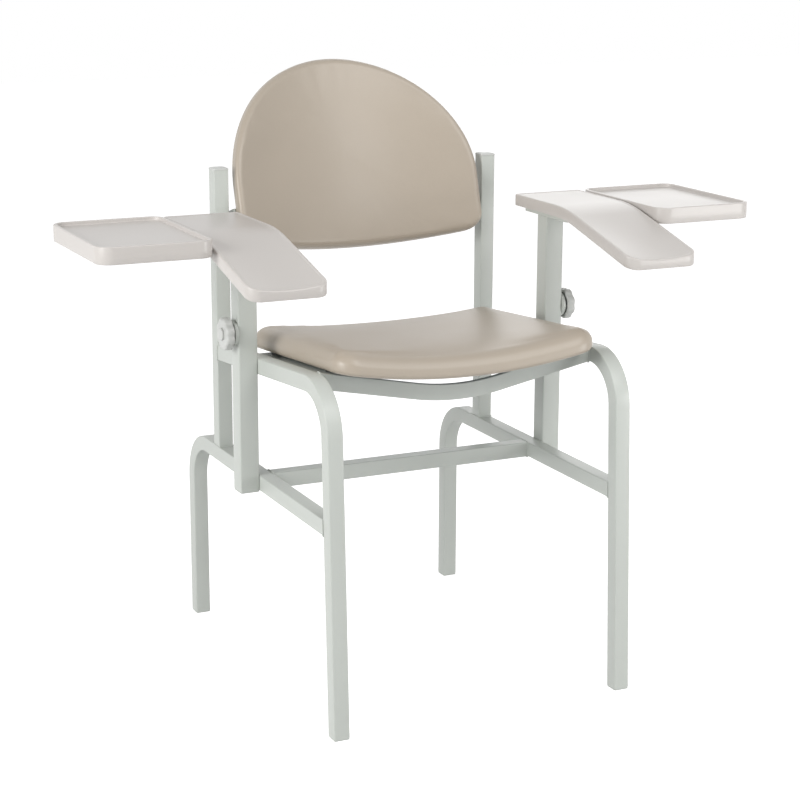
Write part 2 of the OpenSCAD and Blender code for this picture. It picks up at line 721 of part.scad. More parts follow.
// Tray with a shallow recess inside its rim
module tray(side) {
  back = arm_back;
  color(plastic_colour) mirror([side < 0 ? 1 : 0, 0, 0]) difference() {
    translate([tray_x0, back, tray_top - tray_h]) linear_extrude(height = tray_h)
      rounded_plan(tray_w, tray_d, tray_corner, tray_corner);
    translate([tray_x0 + tray_rim, back - tray_rim, tray_top - tray_recess]) linear_extrude(height = tray_recess + cut)
      rounded_plan(tray_w - 2 * tray_rim, tray_d - 2 * tray_rim, tray_corner - tray_rim, tray_corner - tray_rim);
    strap_tray_screw_places() cylinder(h = 2 * arm_screw_bite, d = arm_screw_d, center = true);
  }
}

// Straps under the armrest and the tray, stepped to the tray's lower underside
tray_under = tray_top - tray_h;
strap_y = [for (k = strap_at_shares) arm_back - k * tray_d];
module strap_arm_screw_places() {
  for (y = strap_y) translate([tray_x0 - tray_gap - strap_lap / 2, y, arm_under]) children();
}
module strap_tray_screw_places() {
  for (y = strap_y, k = tray_screw_shares) translate([tray_x0 + k * strap_reach, y, tray_under]) children();
}

module tray_straps(side) {
  step = arm_under - tray_under;
  color(dark_colour) mirror([side < 0 ? 1 : 0, 0, 0]) difference() {
    for (y = strap_y) translate([tray_x0 - tray_gap, y + strap_w / 2, arm_under]) rotate([90, 0, 0])
      linear_extrude(height = strap_w) polygon([
        [-strap_lap, 0], [-strap_lap, -strap_t], [-strap_t, -strap_t], [-strap_t, -step - strap_t],
        [tray_gap + strap_reach, -step - strap_t], [tray_gap + strap_reach, -step], [0, -step], [0, 0]]);
    strap_arm_screw_places() cylinder(h = 4 * strap_t, d = arm_screw_d + 2 * fit, center = true);
    strap_tray_screw_places() cylinder(h = 4 * strap_t, d = arm_screw_d + 2 * fit, center = true);
  }
}

module tray_screws(side) {
  color(steel_colour) mirror([side < 0 ? 1 : 0, 0, 0]) {
    strap_arm_screw_places() strap_screw();
    strap_tray_screw_places() strap_screw();
  }
}

module strap_screw() {
  translate([0, 0, -strap_t - arm_screw_head_t]) cylinder(h = arm_screw_head_t, d = arm_screw_head);
  translate([0, 0, -strap_t]) cylinder(h = strap_t + arm_screw_bite - cut, d = arm_screw_d);
}

// Clamp knobs: each is built along +Z out of the sleeve's outer face
module on_clamp(side, out) {
  translate([side * out, post_y, knob_z]) rotate([0, side * 90, 0]) children();
}

module clamp_nut(side) {
  color(steel_colour) on_clamp(side, sleeve_outer_x) difference() {
    union() {
      cylinder(h = nut_t, d = nut_w, $fn = 6);
      cylinder(h = collar_t, d = collar_d);
    }
    translate([0, 0, -cut]) cylinder(h = nut_t + 2 * cut, d = stud_d + 2 * fit);
  }
}

module knob(side) {
  core = knob_d - knob_lobe_d;
  color(plastic_colour) on_clamp(side, knob_back_x) difference() {
    union() {
      cylinder(h = knob_t, d = core + knob_rim);
      for (i = [0 : knob_lobes - 1]) rotate(360 / knob_lobes * (i + 0.5)) translate([core / 2, 0, 0])
        cylinder(h = knob_t, d = knob_lobe_d, $fn = 32);
    }
    translate([0, 0, -cut]) difference() {
      cylinder(h = knob_t - knob_face + cut, d = core - knob_rim);
      cylinder(h = knob_t, d = knob_hub_d);
    }
    translate([0, 0, -cut]) cylinder(h = nut_t + soft_gap, d = nut_w + 2 * soft_gap);
    translate([0, 0, -cut]) cylinder(h = knob_t - knob_face + cut, d = stud_d);
    translate([0, 0, knob_t - knob_cap_t / 3]) cylinder(h = knob_t, d = knob_cap_d);
  }
}

module knob_stud(side) {
  reach = knob_back_x - (post_x + post_w / 2) - run_gap / 2;
  color(steel_colour) on_clamp(side, knob_back_x) translate([0, 0, -reach]) cylinder(h = reach + knob_t - knob_face, d = stud_d);
}

module knob_cap(side) {
  color(plastic_colour) on_clamp(side, knob_back_x + knob_t - knob_cap_t / 3) {
    cylinder(h = knob_cap_t, d = knob_cap_d - 2 * fit);
    translate([0, 0, knob_cap_t]) cylinder(h = knob_cap_t / 3, d1 = knob_cap_d - 2 * fit, d2 = knob_cap_d - knob_cap_t);
  }
}

front_leg_tube(-1);  // left_front_leg_tube
front_leg_tube(1);  // right_front_leg_tube
rear_leg_tube(-1);  // left_rear_leg_tube
rear_leg_tube(1);  // right_rear_leg_tube
upright(-1);  // left_upright
upright(1);  // right_upright
arm_sleeve(-1);  // left_arm_sleeve
arm_sleeve(1);  // right_arm_sleeve
lower_crossbar();
front_seat_bar();
rear_seat_bar();
seat_tabs();
seat_spacers();
foot_glides();
upright_caps();
sleeve_caps();
sleeve_bush(-1);  // left_sleeve_bush
sleeve_bush(1);  // right_sleeve_bush
clamp_nut(-1);  // left_clamp_nut
clamp_nut(1);  // right_clamp_nut
pivot_studs();
seat_pan();
seat_cushion();
seat_screws();
back_board();
back_cushion();
back_brackets();
back_screws();
pivot_bushes();
inner_post(-1);  // left_inner_post
post_slider(-1);  // left_post_slider
arm_plate(-1);  // left_arm_plate
armrest(-1);  // left_armrest
tray(-1);  // left_tray
tray_straps(-1);  // left_tray_straps
arm_screws(-1);  // left_arm_screws
tray_screws(-1);  // left_tray_screws
inner_post(1);  // right_inner_post
post_slider(1);  // right_post_slider
arm_plate(1);  // right_arm_plate
armrest(1);  // right_armrest
tray(1);  // right_tray
tray_straps(1);  // right_tray_straps
arm_screws(1);  // right_arm_screws
tray_screws(1);  // right_tray_screws
knob(-1);  // left_knob
knob_stud(-1);  // left_knob_stud
knob_cap(-1);  // left_knob_cap
knob(1);  // right_knob
knob_stud(1);  // right_knob_stud
knob_cap(1);  // right_knob_cap
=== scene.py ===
"""Phlebotomy chair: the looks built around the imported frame, laid out as an add-on."""

import json
import math

import bmesh
import bpy
from bpy.props import FloatProperty, FloatVectorProperty, PointerProperty
from mathutils import Matrix, Vector, noise
from mathutils.kdtree import KDTree


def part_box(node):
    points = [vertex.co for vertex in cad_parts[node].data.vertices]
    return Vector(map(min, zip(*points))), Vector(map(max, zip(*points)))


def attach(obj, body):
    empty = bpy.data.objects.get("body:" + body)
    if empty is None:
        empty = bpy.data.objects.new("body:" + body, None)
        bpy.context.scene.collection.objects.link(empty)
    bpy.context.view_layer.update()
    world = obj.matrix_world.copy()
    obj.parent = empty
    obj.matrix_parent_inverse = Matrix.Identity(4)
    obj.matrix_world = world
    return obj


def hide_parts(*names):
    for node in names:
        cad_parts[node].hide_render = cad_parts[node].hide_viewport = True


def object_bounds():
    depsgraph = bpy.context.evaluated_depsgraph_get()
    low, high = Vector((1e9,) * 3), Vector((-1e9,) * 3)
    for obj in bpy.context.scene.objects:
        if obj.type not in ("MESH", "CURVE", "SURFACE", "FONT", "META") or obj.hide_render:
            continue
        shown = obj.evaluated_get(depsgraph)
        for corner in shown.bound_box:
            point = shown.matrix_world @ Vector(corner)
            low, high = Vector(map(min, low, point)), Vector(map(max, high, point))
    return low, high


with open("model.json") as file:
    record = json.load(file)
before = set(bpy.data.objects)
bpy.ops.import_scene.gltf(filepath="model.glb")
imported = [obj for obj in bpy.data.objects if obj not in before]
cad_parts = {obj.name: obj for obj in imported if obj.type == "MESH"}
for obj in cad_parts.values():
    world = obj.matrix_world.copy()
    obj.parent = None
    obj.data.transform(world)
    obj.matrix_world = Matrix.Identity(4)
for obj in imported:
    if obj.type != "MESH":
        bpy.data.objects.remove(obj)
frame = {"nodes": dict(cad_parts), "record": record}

bl_info = {
    "name": "Phlebotomy Chair",
    "version": (1, 0, 0),
    "blender": (4, 5, 0),
    "location": "View3D > Sidebar > Chair",
    "description": "Builds a blood-drawing chair with height-adjustable arms and side trays",
    "category": "Add Mesh",
}

CAD_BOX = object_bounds()
MM = 0.001
SIDES = (("left", -1), ("right", 1))
X_WAY, Y_WAY, UP = Vector((1, 0, 0)), Vector((0, 1, 0)), Vector((0, 0, 1))
SAME_POINT = 1e-6  # points nearer to each other than this are one
SHARP_EDGE = math.radians(35.0)  # edges that turn by more are shaded sharp
TUBE_RUN = 0.55  # longer than any rail; a plane trims it
COVER_GAP = 0.3 * MM  # between a pad's cover and its board


def box_size(node):
    low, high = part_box(node)
    return high - low


def box_mid(node):
    low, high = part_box(node)
    return (low + high) / 2


def over(node, z):
    """Place at height z in the middle of a node's plan."""
    middle = box_mid(node)
    return Vector((middle.x, middle.y, z))


def number(name, value, description, low, high):
    return FloatProperty(name=name, description=description, default=value, min=low, max=high)


def length(name, value, description, low=0.0, high=2.0):
    return FloatProperty(
        name=name, description=description, default=value, min=low, max=high, unit="LENGTH", precision=4
    )


def angle(name, degrees, description):
    return FloatProperty(
        name=name, description=description, default=math.radians(degrees), subtype="ANGLE", unit="ROTATION"
    )


def colour(name, value, description):
    return FloatVectorProperty(
        name=name, description=description, default=value, size=3, min=0.0, max=1.0, subtype="COLOR"
    )


class FrameSizes(bpy.types.PropertyGroup):
    """Sizes of the welded tube frame"""

    tube: length("Tube", box_size("left_upright").x, "Side of the square frame tube")
    tube_round: length("Tube corner", 1.9 * MM, "Outer corner radius of the frame tube")
    half_width: length("Half width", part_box("right_upright")[1][0], "Half the width over the side frames")
    bend_radius: length("Bend radius", 75 * MM, "Radius of the bends at the tube's centreline")
    foot_front: length("Front of the feet", CAD_BOX[0][1], "Place of the front feet", -2.0)
    rail_level: length("Seat rail height", 543 * MM, "Height of the seat rail's top level with the arm posts")
    rail_fall: angle("Rail fall", 4.7, "Fall of the seat rail towards the back")
    leg_lean: angle("Leg lean", 2.6, "Lean of the front legs")
    bar_high: length("Front bar height", 26 * MM, "Height of the front seat bar's section")
    bar_round: length("Front bar corner", 1.6 * MM, "Corner radius of the front seat bar")
    bar_curve: length("Front bar curve", 75 * MM, "Half the length of the front seat bar's curved middle")
    bar_slope: number("Front bar slope", 0.197, "Rise of the front seat bar's wings over their run", 0.0, 1.0)
    rear_bar: length("Rear bar", 22 * MM, "Side of the square rear seat bar")
    rear_round: length("Rear bar corner", 2.4 * MM, "Corner radius of the rear seat bar")
    bead: length("Weld bead", 1.3 * MM, "Radius of the weld beads")
    sleeve_round: length("Sleeve corner", 2.4 * MM, "Outer corner radius of the arm sleeve")


class SeatSizes(bpy.types.PropertyGroup):
    """Sizes of the seat"""

    width: length("Width", 455 * MM, "Width of the seat")
    depth: length("Depth", 390 * MM, "Depth of the seat")
    corner: length("Corners", 35 * MM, "Radius of the corners in plan")
    edge: length("Edge thickness", 37 * MM, "Thickness of the seat at its edge")
    round_in: length("Top rounding, inwards", 26 * MM, "How far in the top edge's rounding reaches")
    round_down: length("Top rounding, downwards", 23 * MM, "How far down the top edge's rounding reaches")
    round_low: length("Bottom rounding", 7 * MM, "Radius of the bottom edge")
    crown: length("Crown", 3.5 * MM, "Rise of the crown over the edge")
    dish_front: length("Front dish", 24 * MM, "Dip of the middle at the front")
    dish_back: length("Back dish", 10.5 * MM, "Dip of the middle at the back")
    lift: length("Lift", 2 * MM, "Height of the underside over the rails")
    pan_inset: length("Pan inset", 13 * MM, "How far the cover wraps under the pan's edge")
    pan: length("Pan thickness", 9 * MM, "Thickness of the pan")
    swell: length("Swell", 1.6 * MM, "Most that the stuffing moves the cover")


class BackSizes(bpy.types.PropertyGroup):
    """Sizes of the back pad"""

    width: length("Width", 452 * MM, "Width of the pad")
    arch: length("Arch", 225 * MM, "Height of the arch over the widest line")
    lower: length("Lower part", 98.5 * MM, "Depth of the pad below its widest line")
    arch_power: number("Arch power", 1.96, "Squareness of the arch", 1.5, 4.0)
    corner: length("Lower corners", 26 * MM, "Radius of the lower corners")
    bow: length("Bow", 10.5 * MM, "Bow of the lower edge")
    wrap: length("Wrap", 69 * MM, "How far the sides come forward of the middle")
    lean: angle("Lean", 17.0, "Lean of the pad at rest")
    thickness: length("Cushion thickness", 20 * MM, "Thickness of the cushion")
    board: length("Board thickness", 10 * MM, "Thickness of the board behind the cushion")
    middle: length("Middle height", 50 * MM, "Height of the widest line over the pivot")
    board_inset: length("Board inset", 12 * MM, "How far the cover wraps round the board's edge")
    round_front: length("Front rounding", 13 * MM, "Radius of the front edge")
    round_rear: length("Rear rounding", 6 * MM, "Radius of the rear edge")
    set_back: length("Set back", 56 * MM, "Distance of the board's middle behind the pivot")
    swell: length("Swell", 1.2 * MM, "Most that the stuffing moves the cover")


class ArmSizes(bpy.types.PropertyGroup):
    """Sizes of the armrests, trays, posts and knobs"""

    flat: length("Flat part", 178 * MM, "Length of the armrest's level part")
    slope: angle("Slope", 14.0, "Slope of the front part")
    bend_radius: length("Bend radius", 300 * MM, "Radius between the level and the sloped part")
    thick: length("Thickness", 20 * MM, "Thickness of the armrest")
    back_corner: length("Back corners", 6 * MM, "Radius of the back corners")
    front_corner: length("Front corners", 21 * MM, "Radius of the front corners")
    edge_round: length("Edge rounding", 2.4 * MM, "Radius of the top edges")
    rim: length("Rim", 5 * MM, "Width of the rim round the dish")
    crease: length("Crease", 0.6 * MM, "Step down inside the rim")
    dish: length("Dish", 5.4 * MM, "Depth of the dish at the front end")
    tray_corner: length("Tray corners", 24 * MM, "Radius of the tray's corners")
    tray_rim: length("Tray rim", 6 * MM, "Width of the tray's rim")
    tray_depth: length("Tray depth", 6 * MM, "Depth of the tray's floor under its rim")
    post_round: length("Post corner", 2.4 * MM, "Outer corner radius of the sliding post")
    lobe_depth: length("Lobe depth", 2.4 * MM, "Depth of the hollows between the knob's lobes")


class ChairColours(bpy.types.PropertyGroup):
    """Colours of the chair's finishes"""

    powder: colour("Powder coat", (0.520, 0.545, 0.510), "Frame tubes")
    vinyl: colour("Vinyl", (0.415, 0.358, 0.291), "Seat and back covers")
    moulding: colour("Moulding", (0.545, 0.515, 0.488), "Armrests and trays")
    knob: colour("Knob", (0.560, 0.570, 0.550), "Clamp knobs")
    board: colour("Board", (0.060, 0.075, 0.085), "Seat pan and back board")
    dark: colour("Dark plastic", (0.045, 0.048, 0.050), "Bushes, sliders and spacers")
    steel: colour("Steel", (0.560, 0.570, 0.580), "Screws, studs and posts")


class ViewSizes(bpy.types.PropertyGroup):
    """Camera"""

    place: FloatVectorProperty(
        name="Camera place", description="Where the camera stands", default=(-1.402, -3.0025, 1.268), size=3,
        subtype="TRANSLATION", unit="LENGTH",
    )
    yaw: angle("Yaw", 25.04, "Turn of the camera to the right")
    pitch: angle("Pitch", 13.97, "Tilt of the camera downwards")
    roll: angle("Roll", 0.18, "Roll of the camera")
    lens: number("Lens", 90.81, "Focal length in millimetres on a 36 mm sensor", 10.0, 300.0)


# Helpers that make pieces and meshes


def settings():
    """The scene's groups of sizes, in the order of GROUPS."""
    return [getattr(bpy.context.scene, key) for key in GROUPS]


def slot_of(finish):
    return finish.lower().replace(" ", "_")


def node_slots():
    return {row["node"]: row["material_slot"] for row in frame["record"]["subparts"]}


def add_piece(mesh, body, finish, *replaced, slot=None):
    """Adds a mesh as one piece of the chair, with its finish, its body and the nodes it stands for."""
    mesh.validate()
    for face in mesh.polygons:
        face.use_smooth = True
    mesh.set_sharp_from_angle(angle=SHARP_EDGE)
    piece = bpy.data.objects.new(mesh.name, mesh)
    bpy.context.scene.collection.objects.link(piece)
    mesh.materials.clear()
    mesh.materials.append(bpy.data.materials[finish])
    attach(piece, body)
    slot or slot_of(finish)
    if replaced:
        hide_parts(*replaced)
    return piece


def ring_mesh(name, rings, close_ends=True):
    """Skin through rings of as many points each, with a fan of faces at each end."""
    mesh = bpy.data.meshes.new(name)
    count = len(rings[0])
    points = [tuple(p) for ring in rings for p in ring]
    faces = []
    for k in range(len(rings) - 1):
        for i in range(count):
            a, b = k * count + i, k * count + (i + 1) % count
            faces.append((a, b, b + count, a + count))
    if close_ends:
        for k, turn in ((0, -1), (len(rings) - 1, 1)):
            points.append(tuple(sum((Vector(p) for p in rings[k]), Vector()) / count))
            hub = len(points) - 1
            for i in range(count):
                a, b = k * count + i, k * count + (i + 1) % count
                faces.append((a, b, hub) if turn > 0 else (b, a, hub))
    mesh.from_pydata(points, [], faces)
    mesh.update()
    return outward(mesh)


def outward(mesh):
    """Merges doubled points and turns every face outwards."""
    bm = bmesh.new()
    bm.from_mesh(mesh)
    bmesh.ops.remove_doubles(bm, verts=bm.verts, dist=SAME_POINT)
    bmesh.ops.recalc_face_normals(bm, faces=bm.faces)
    bm.to_mesh(mesh)
    bm.free()
    mesh.update()
    return mesh


def mesh_from(bm, name):
    mesh = bpy.data.meshes.new(name)
    bm.to_mesh(mesh)
    bm.free()
    mesh.update()
    return mesh


def join_meshes(name, meshes):
    bm = bmesh.new()
    for mesh in meshes:
        bm.from_mesh(mesh)
        bpy.data.meshes.remove(mesh)
    return mesh_from(bm, name)


def node_bmesh(node):
    """The node's own solids in the chair's space."""
    bm = bmesh.new()
    bm.from_mesh(frame["nodes"][node].data)
    bm.transform(frame["nodes"][node].matrix_world)
    bmesh.ops.remove_doubles(bm, verts=bm.verts, dist=SAME_POINT)
    return bm


def circle(count):
    return [2 * math.pi * i / count for i in range(count)]


def turns(start, end, steps):
    """Even angles from start to end, given in degrees."""
    return [math.radians(start + (end - start) * i / steps) for i in range(steps + 1)]


def between(p, q, share):
    return p[0] + (q[0] - p[0]) * share, p[1] + (q[1] - p[1]) * share


def rounded_section(width, height, radius, steps=5):
    """Points round a rectangle with rounded corners, starting at the right."""
    points = []
    for x_way, y_way, start in ((1, 1, 0), (-1, 1, 90), (-1, -1, 180), (1, -1, 270)):
        x, y = x_way * (width / 2 - radius), y_way * (height / 2 - radius)
        points += [(x + radius * math.cos(a), y + radius * math.sin(a)) for a in turns(start, start + 90, steps)]
    return points


def heading(a):
    return Vector((0, math.sin(a), math.cos(a)))


def across(a):
    return Vector((0, -math.cos(a), math.sin(a)))


def to_plane(point, along, place, normal):
    """Slides a point along a direction onto a plane."""
    return point + along * ((place - point).dot(normal) / along.dot(normal))


def bar_mesh(name, start, end, up, size, radius):
    """Straight square bar with rounded edges from start to end."""
    along = (end - start).normalized()
    side = along.cross(up).normalized()
    top = side.cross(along).normalized()
    section = rounded_section(size, size, radius)
    places = (start, start.lerp(end, 0.5), end)
    return ring_mesh(name, [[place + side * a + top * b for a, b in section] for place in places])


def standing_bar(name, node, size, radius):
    """Upright bar over the whole height of a node."""
    low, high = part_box(node)
    return bar_mesh(name, over(node, low.z), over(node, high.z), Y_WAY, size, radius)


def lying_bar(name, node, reach, up, size, radius):
    """Bar across the chair through the middle of a node."""
    middle = box_mid(node)
    ends = [Vector((x, middle.y, middle.z)) for x in (-reach, reach)]
    return bar_mesh(name, *ends, up, size, radius)


def stacked_mesh(name, place, width, rows, lean=0.0, close_ends=True):
    """Stack of rounded squares over a place. Each row is (growth of each side, height, corner), in mm."""
    rings = []
    for grow, rise, corner in rows:
        side, shift = width + 2 * grow * MM, rise * MM * math.tan(lean)
        section = rounded_section(side, side, corner * MM)
        rings.append([place + Vector((a, b + shift, rise * MM)) for a, b in section])
    return ring_mesh(name, rings, close_ends)


def bent_tube_mesh(name, start, flip, lean, rise, turn, sizes, cut_start, cut_end):
    """Tube that rises from start, bends towards +Y (or -Y with flip -1) and runs on. A plane (place, normal)
    cuts each end."""
    radius, steps, end = sizes.bend_radius, 28, lean + turn
    mirror = Matrix.Diagonal((1, flip, 1))
    hub = heading(lean) * rise - across(lean) * radius
    stations = [(Vector(), lean), (heading(lean) * rise * 0.5, lean)]
    for a in [lean + turn * i / steps for i in range(steps + 1)]:
        stations.append((hub + across(a) * radius, a))
    stations.append((stations[-1][0] + heading(end) * TUBE_RUN, end))
    section = rounded_section(sizes.tube, sizes.tube, sizes.tube_round)
    rings = [
        [start + mirror @ (place + across(a) * v + Vector((u, 0, 0))) for u, v in section]
        for place, a in stations
    ]
    rings[0] = [to_plane(p, mirror @ heading(lean), *cut_start) for p in rings[0]]
    rings[-1] = [to_plane(p, mirror @ heading(end), *cut_end) for p in rings[-1]]
    return ring_mesh(name, rings)


def bead_mesh(middle, u, v, width, height, corner, radius, seed):
    """Weld bead round a rounded rectangle: a thin uneven ring of metal."""
    spacing, wave, grit = 1.6 * MM, 0.16, 0.14
    outline = rounded_section(width, height, corner, 4)
    dense = []
    for i, p in enumerate(outline):
        q = outline[(i + 1) % len(outline)]
        parts = max(1, round(math.dist(p, q) / spacing))
        dense += [between(p, q, k / parts) for k in range(parts)]
    normal = u.cross(v)
    rings = []
    for i, (x, y) in enumerate(dense):
        p, q = dense[i - 1], dense[(i + 1) % len(dense)]
        place = middle + u * x + v * y
        way = (u * (q[0] - p[0]) + v * (q[1] - p[1])).normalized()
        out = way.cross(normal).normalized()
        r = radius * (1 + wave * math.sin(i * 1.9) + grit * noise.noise(Vector((i * 0.37, seed, 0.0))))
        rings.append([place + (out * math.cos(t) + normal * math.sin(t)) * r for t in circle(8)])
    rings.append(rings[0])
    return ring_mesh("bead", rings, close_ends=False)


def lobed_mesh(name, profile, lobes, depth):
    """Turned shape about +Z from (radius, height, lobe share) rows, drawn in between the lobes."""
    rings = []
    for radius, height, share in profile:
        ring = []
        for a in circle(12 * lobes):
            r = radius - depth * share * (0.5 - 0.5 * math.cos(lobes * a)) ** 1.4
            ring.append(Vector((r * math.cos(a), r * math.sin(a), height)))
        rings.append(ring)
    return ring_mesh(name, rings)


def plan_outline(width, depth, back_round, front_round, side_gap, steps=14):
    """Points round a plan from x 0..width and s 0..depth (s runs forward), with the way inwards at each."""
    arcs = []
    for x, s, r, start in (
        (width - back_round, back_round, back_round, -90),
        (width - front_round, depth - front_round, front_round, 0),
        (front_round, depth - front_round, front_round, 90),
        (back_round, back_round, back_round, 180),
    ):
        ways = [(math.cos(a), math.sin(a)) for a in turns(start, start + 90, steps)]
        arcs.append([((x + r * c, s + r * v), (-c, -v)) for c, v in ways])
    points = []
    for k, arc in enumerate(arcs):
        points += arc
        (p, inward), (q, _) = arc[-1], arcs[(k + 1) % 4][0]
        parts = max(1, round(math.dist(p, q) / side_gap))
        points += [(between(p, q, i / parts), inward) for i in range(1, parts)]
    return points


def slab_mesh(name, outline, width, depth, rows, place):
    """Moulded slab, closed up along its spine. Each row is (inset, share towards the spine, height, whether the
    height rides on the dished top); place turns (x, s, height, on_top) into a point."""
    half = min(width, depth) / 2
    spine_end = max(width, depth) - half
    rings = []
    for inset, share, height, on_top in rows:
        ring = []
        for (px, ps), (ix, iy) in outline:
            x, s = px + ix * inset, ps + iy * inset
            if share:
                sx = half if depth >= width else min(max(x, half), spine_end)
                ss = min(max(s, half), spine_end) if depth >= width else half
                x, s = x + (sx - x) * share, s + (ss - s) * share
            ring.append(place(x, s, height, on_top))
        rings.append(ring)
    return ring_mesh(name, rings, close_ends=False)


def slab_sides(thick, radius, shares, on_top):
    """Rows of a slab's underside, its eased lower edge and its rounded top edge."""
    ease, chamfer = 1.6 * MM, 0.5 * MM
    rows = [(ease, k, -thick, False) for k in (*shares, 0)]
    rows += [(chamfer, 0, -thick + chamfer, False), (0, 0, -thick + ease, False), (0, 0, -thick / 2, False)]
    return rows + [(radius * (1 - math.cos(a)), 0, -radius * (1 - math.sin(a)), on_top) for a in turns(0, 90, 6)]


# Finishes: shared effects are node groups, each material keeps its own shader


def new_group(name, inputs, outputs):
    """Empty node group whose sockets are plain values; inputs give each socket's default."""
    tree = bpy.data.node_groups.new(name, "ShaderNodeTree")
    for key, value in inputs.items():
        tree.interface.new_socket(name=key, in_out="INPUT", socket_type="NodeSocketFloat").default_value = value
    for key in outputs:
        tree.interface.new_socket(name=key, in_out="OUTPUT", socket_type="NodeSocketFloat")
    return tree, tree.nodes.new("NodeGroupInput").outputs, tree.nodes.new("NodeGroupOutput").inputs


def add_node(tree, kind, inputs=(), **values):
    node = tree.nodes.new(kind)
    for key, value in values.items():
        setattr(node, key, value)
    for key, value in dict(inputs).items():
        if isinstance(value, bpy.types.NodeSocket):
            tree.links.new(value, node.inputs[key])
        else:
            node.inputs[key].default_value = value
    return node


def maths(tree, operation, a, b):
    return add_node(tree, "ShaderNodeMath", {0: a, 1: b}, operation=operation).outputs[0]


def noise_of(tree, place, scale, detail, rough, output="Fac"):
    inputs = {"Vector": place, "Scale": scale, "Detail": detail, "Roughness": rough}
    return add_node(tree, "ShaderNodeTexNoise", inputs).outputs[output]


def remap(tree, value, low, high, start=0.0, end=1.0, **values):
    inputs = {"Value": value, "From Min": low, "From Max": high, "To Min": start, "To Max": end}
    return add_node(tree, "ShaderNodeMapRange", inputs, **values).outputs["Result"]


def object_place(tree):
    return add_node(tree, "ShaderNodeTexCoord").outputs["Object"]


def make_peel_group():
    """Peel: the fine dimpled skin of powder coat and of textured mouldings."""
    tree, given, out = new_group("Peel", {"Scale": 900.0, "Fine Share": 0.35}, ("Height", "Mottle"))
    place = object_place(tree)
    dimples = noise_of(tree, place, given["Scale"], 2.0, 0.45)
    fine = noise_of(tree, place, maths(tree, "MULTIPLY", given["Scale"], 3.1), 2.0, 0.6)
    height = maths(tree, "ADD", dimples, maths(tree, "MULTIPLY", fine, given["Fine Share"]))
    tree.links.new(height, out["Height"])
    tree.links.new(noise_of(tree, place, 7.0, 4.0, 0.55), out["Mottle"])


def make_grain_group():
    """Leather grain: rounded pebbles with soft valleys, and broad unevenness."""
    tree, given, out = new_group("Leather Grain", {"Scale": 620.0, "Stretch": 0.35}, ("Height", "Valley", "Mottle"))
    place = object_place(tree)
    wander = noise_of(tree, place, 60.0, 2.0, 0.5, "Color")
    shift = add_node(tree, "ShaderNodeVectorMath", {0: wander, 1: (0.5, 0.5, 0.5)}, operation="SUBTRACT")
    small = add_node(tree, "ShaderNodeVectorMath", {0: shift.outputs[0], "Scale": 0.004}, operation="SCALE")
    moved = add_node(tree, "ShaderNodeVectorMath", {0: place, 1: small.outputs[0]}, operation="ADD")
    cells = {"Vector": moved.outputs[0], "Scale": given["Scale"]}
    pebbles = add_node(tree, "ShaderNodeTexVoronoi", cells, feature="DISTANCE_TO_EDGE")
    rounded = remap(tree, pebbles.outputs["Distance"], 0.0, 0.32, interpolation_type="SMOOTHERSTEP")
    fine = noise_of(tree, place, maths(tree, "MULTIPLY", given["Scale"], 2.4), 3.0, 0.6)
    height = maths(tree, "ADD", rounded, maths(tree, "MULTIPLY", fine, given["Stretch"]))
    tree.links.new(height, out["Height"])
    tree.links.new(maths(tree, "SUBTRACT", 1.0, rounded), out["Valley"])
    tree.links.new(noise_of(tree, place, 5.0, 4.0, 0.6), out["Mottle"])


def make_rub_group():
    """Edge rub: a mask along the outer edges, broken up by noise."""
    tree, given, out = new_group("Edge Rub", {"Low": 0.53, "High": 0.60, "Break Scale": 90.0}, ("Mask",))
    edge = add_node(tree, "ShaderNodeNewGeometry").outputs["Pointiness"]
    mask = remap(tree, edge, given["Low"], given["High"])
    breaks = noise_of(tree, object_place(tree), given["Break Scale"], 4.0, 0.65)
    tree.links.new(maths(tree, "MULTIPLY", mask, remap(tree, breaks, 0.38, 0.62)), out["Mask"])


def place_group(tree, name, **values):
    node = tree.nodes.new("ShaderNodeGroup")
    node.node_tree = bpy.data.node_groups[name]
    for key, value in values.items():
        node.inputs[key.replace("_", " ")].default_value = value
    return node.outputs


def mix_colour(tree, factor, a, b):
    """Mixes a colour a with a plain colour b; a is plain or a socket."""
    node = add_node(tree, "ShaderNodeMix", {0: factor, 7: (*b, 1.0)}, data_type="RGBA")
    if isinstance(a, bpy.types.NodeSocket):
        tree.links.new(a, node.inputs[6])
    else:
        node.inputs[6].default_value = (*a, 1.0)
    return node.outputs[2]


def spread(tree, value, low, high):
    """Spreads the middle half of a noise over low..high."""
    return remap(tree, value, 0.25, 0.75, low, high)


def shade(hue, factor):
    return tuple(min(1.0, c * factor) for c in hue)


def new_material(name, **constants):
    material = bpy.data.materials.new(name)
    material.use_nodes = True
    tree = material.node_tree
    shader = next(n for n in tree.nodes if n.type == "BSDF_PRINCIPLED")
    for key, value in constants.items():
        shader.inputs[key.replace("_", " ")].default_value = value
    return tree, shader


def dress(tree, shader, hue, skin, shades, rough, relief, mask=None, share=0.0, mask_shade=1.0):
    """Feeds a shader from a skin's mottle and height: the hue between two shades, a third shade where the mask
    is, a range of roughness, and relief as (strength, depth)."""
    mottle = skin["Mottle"]
    mixed = mix_colour(tree, spread(tree, mottle, 0.0, 1.0), shade(hue, shades[0]), shade(hue, shades[1]))
    if mask is not None:
        mixed = mix_colour(tree, maths(tree, "MULTIPLY", mask, share), mixed, shade(hue, mask_shade))
    tree.links.new(mixed, shader.inputs["Base Color"])
    tree.links.new(spread(tree, mottle, *rough), shader.inputs["Roughness"])
    strength, depth = relief
    bump = add_node(tree, "ShaderNodeBump", {"Height": skin["Height"], "Strength": strength, "Distance": depth})
    tree.links.new(bump.outputs["Normal"], shader.inputs["Normal"])


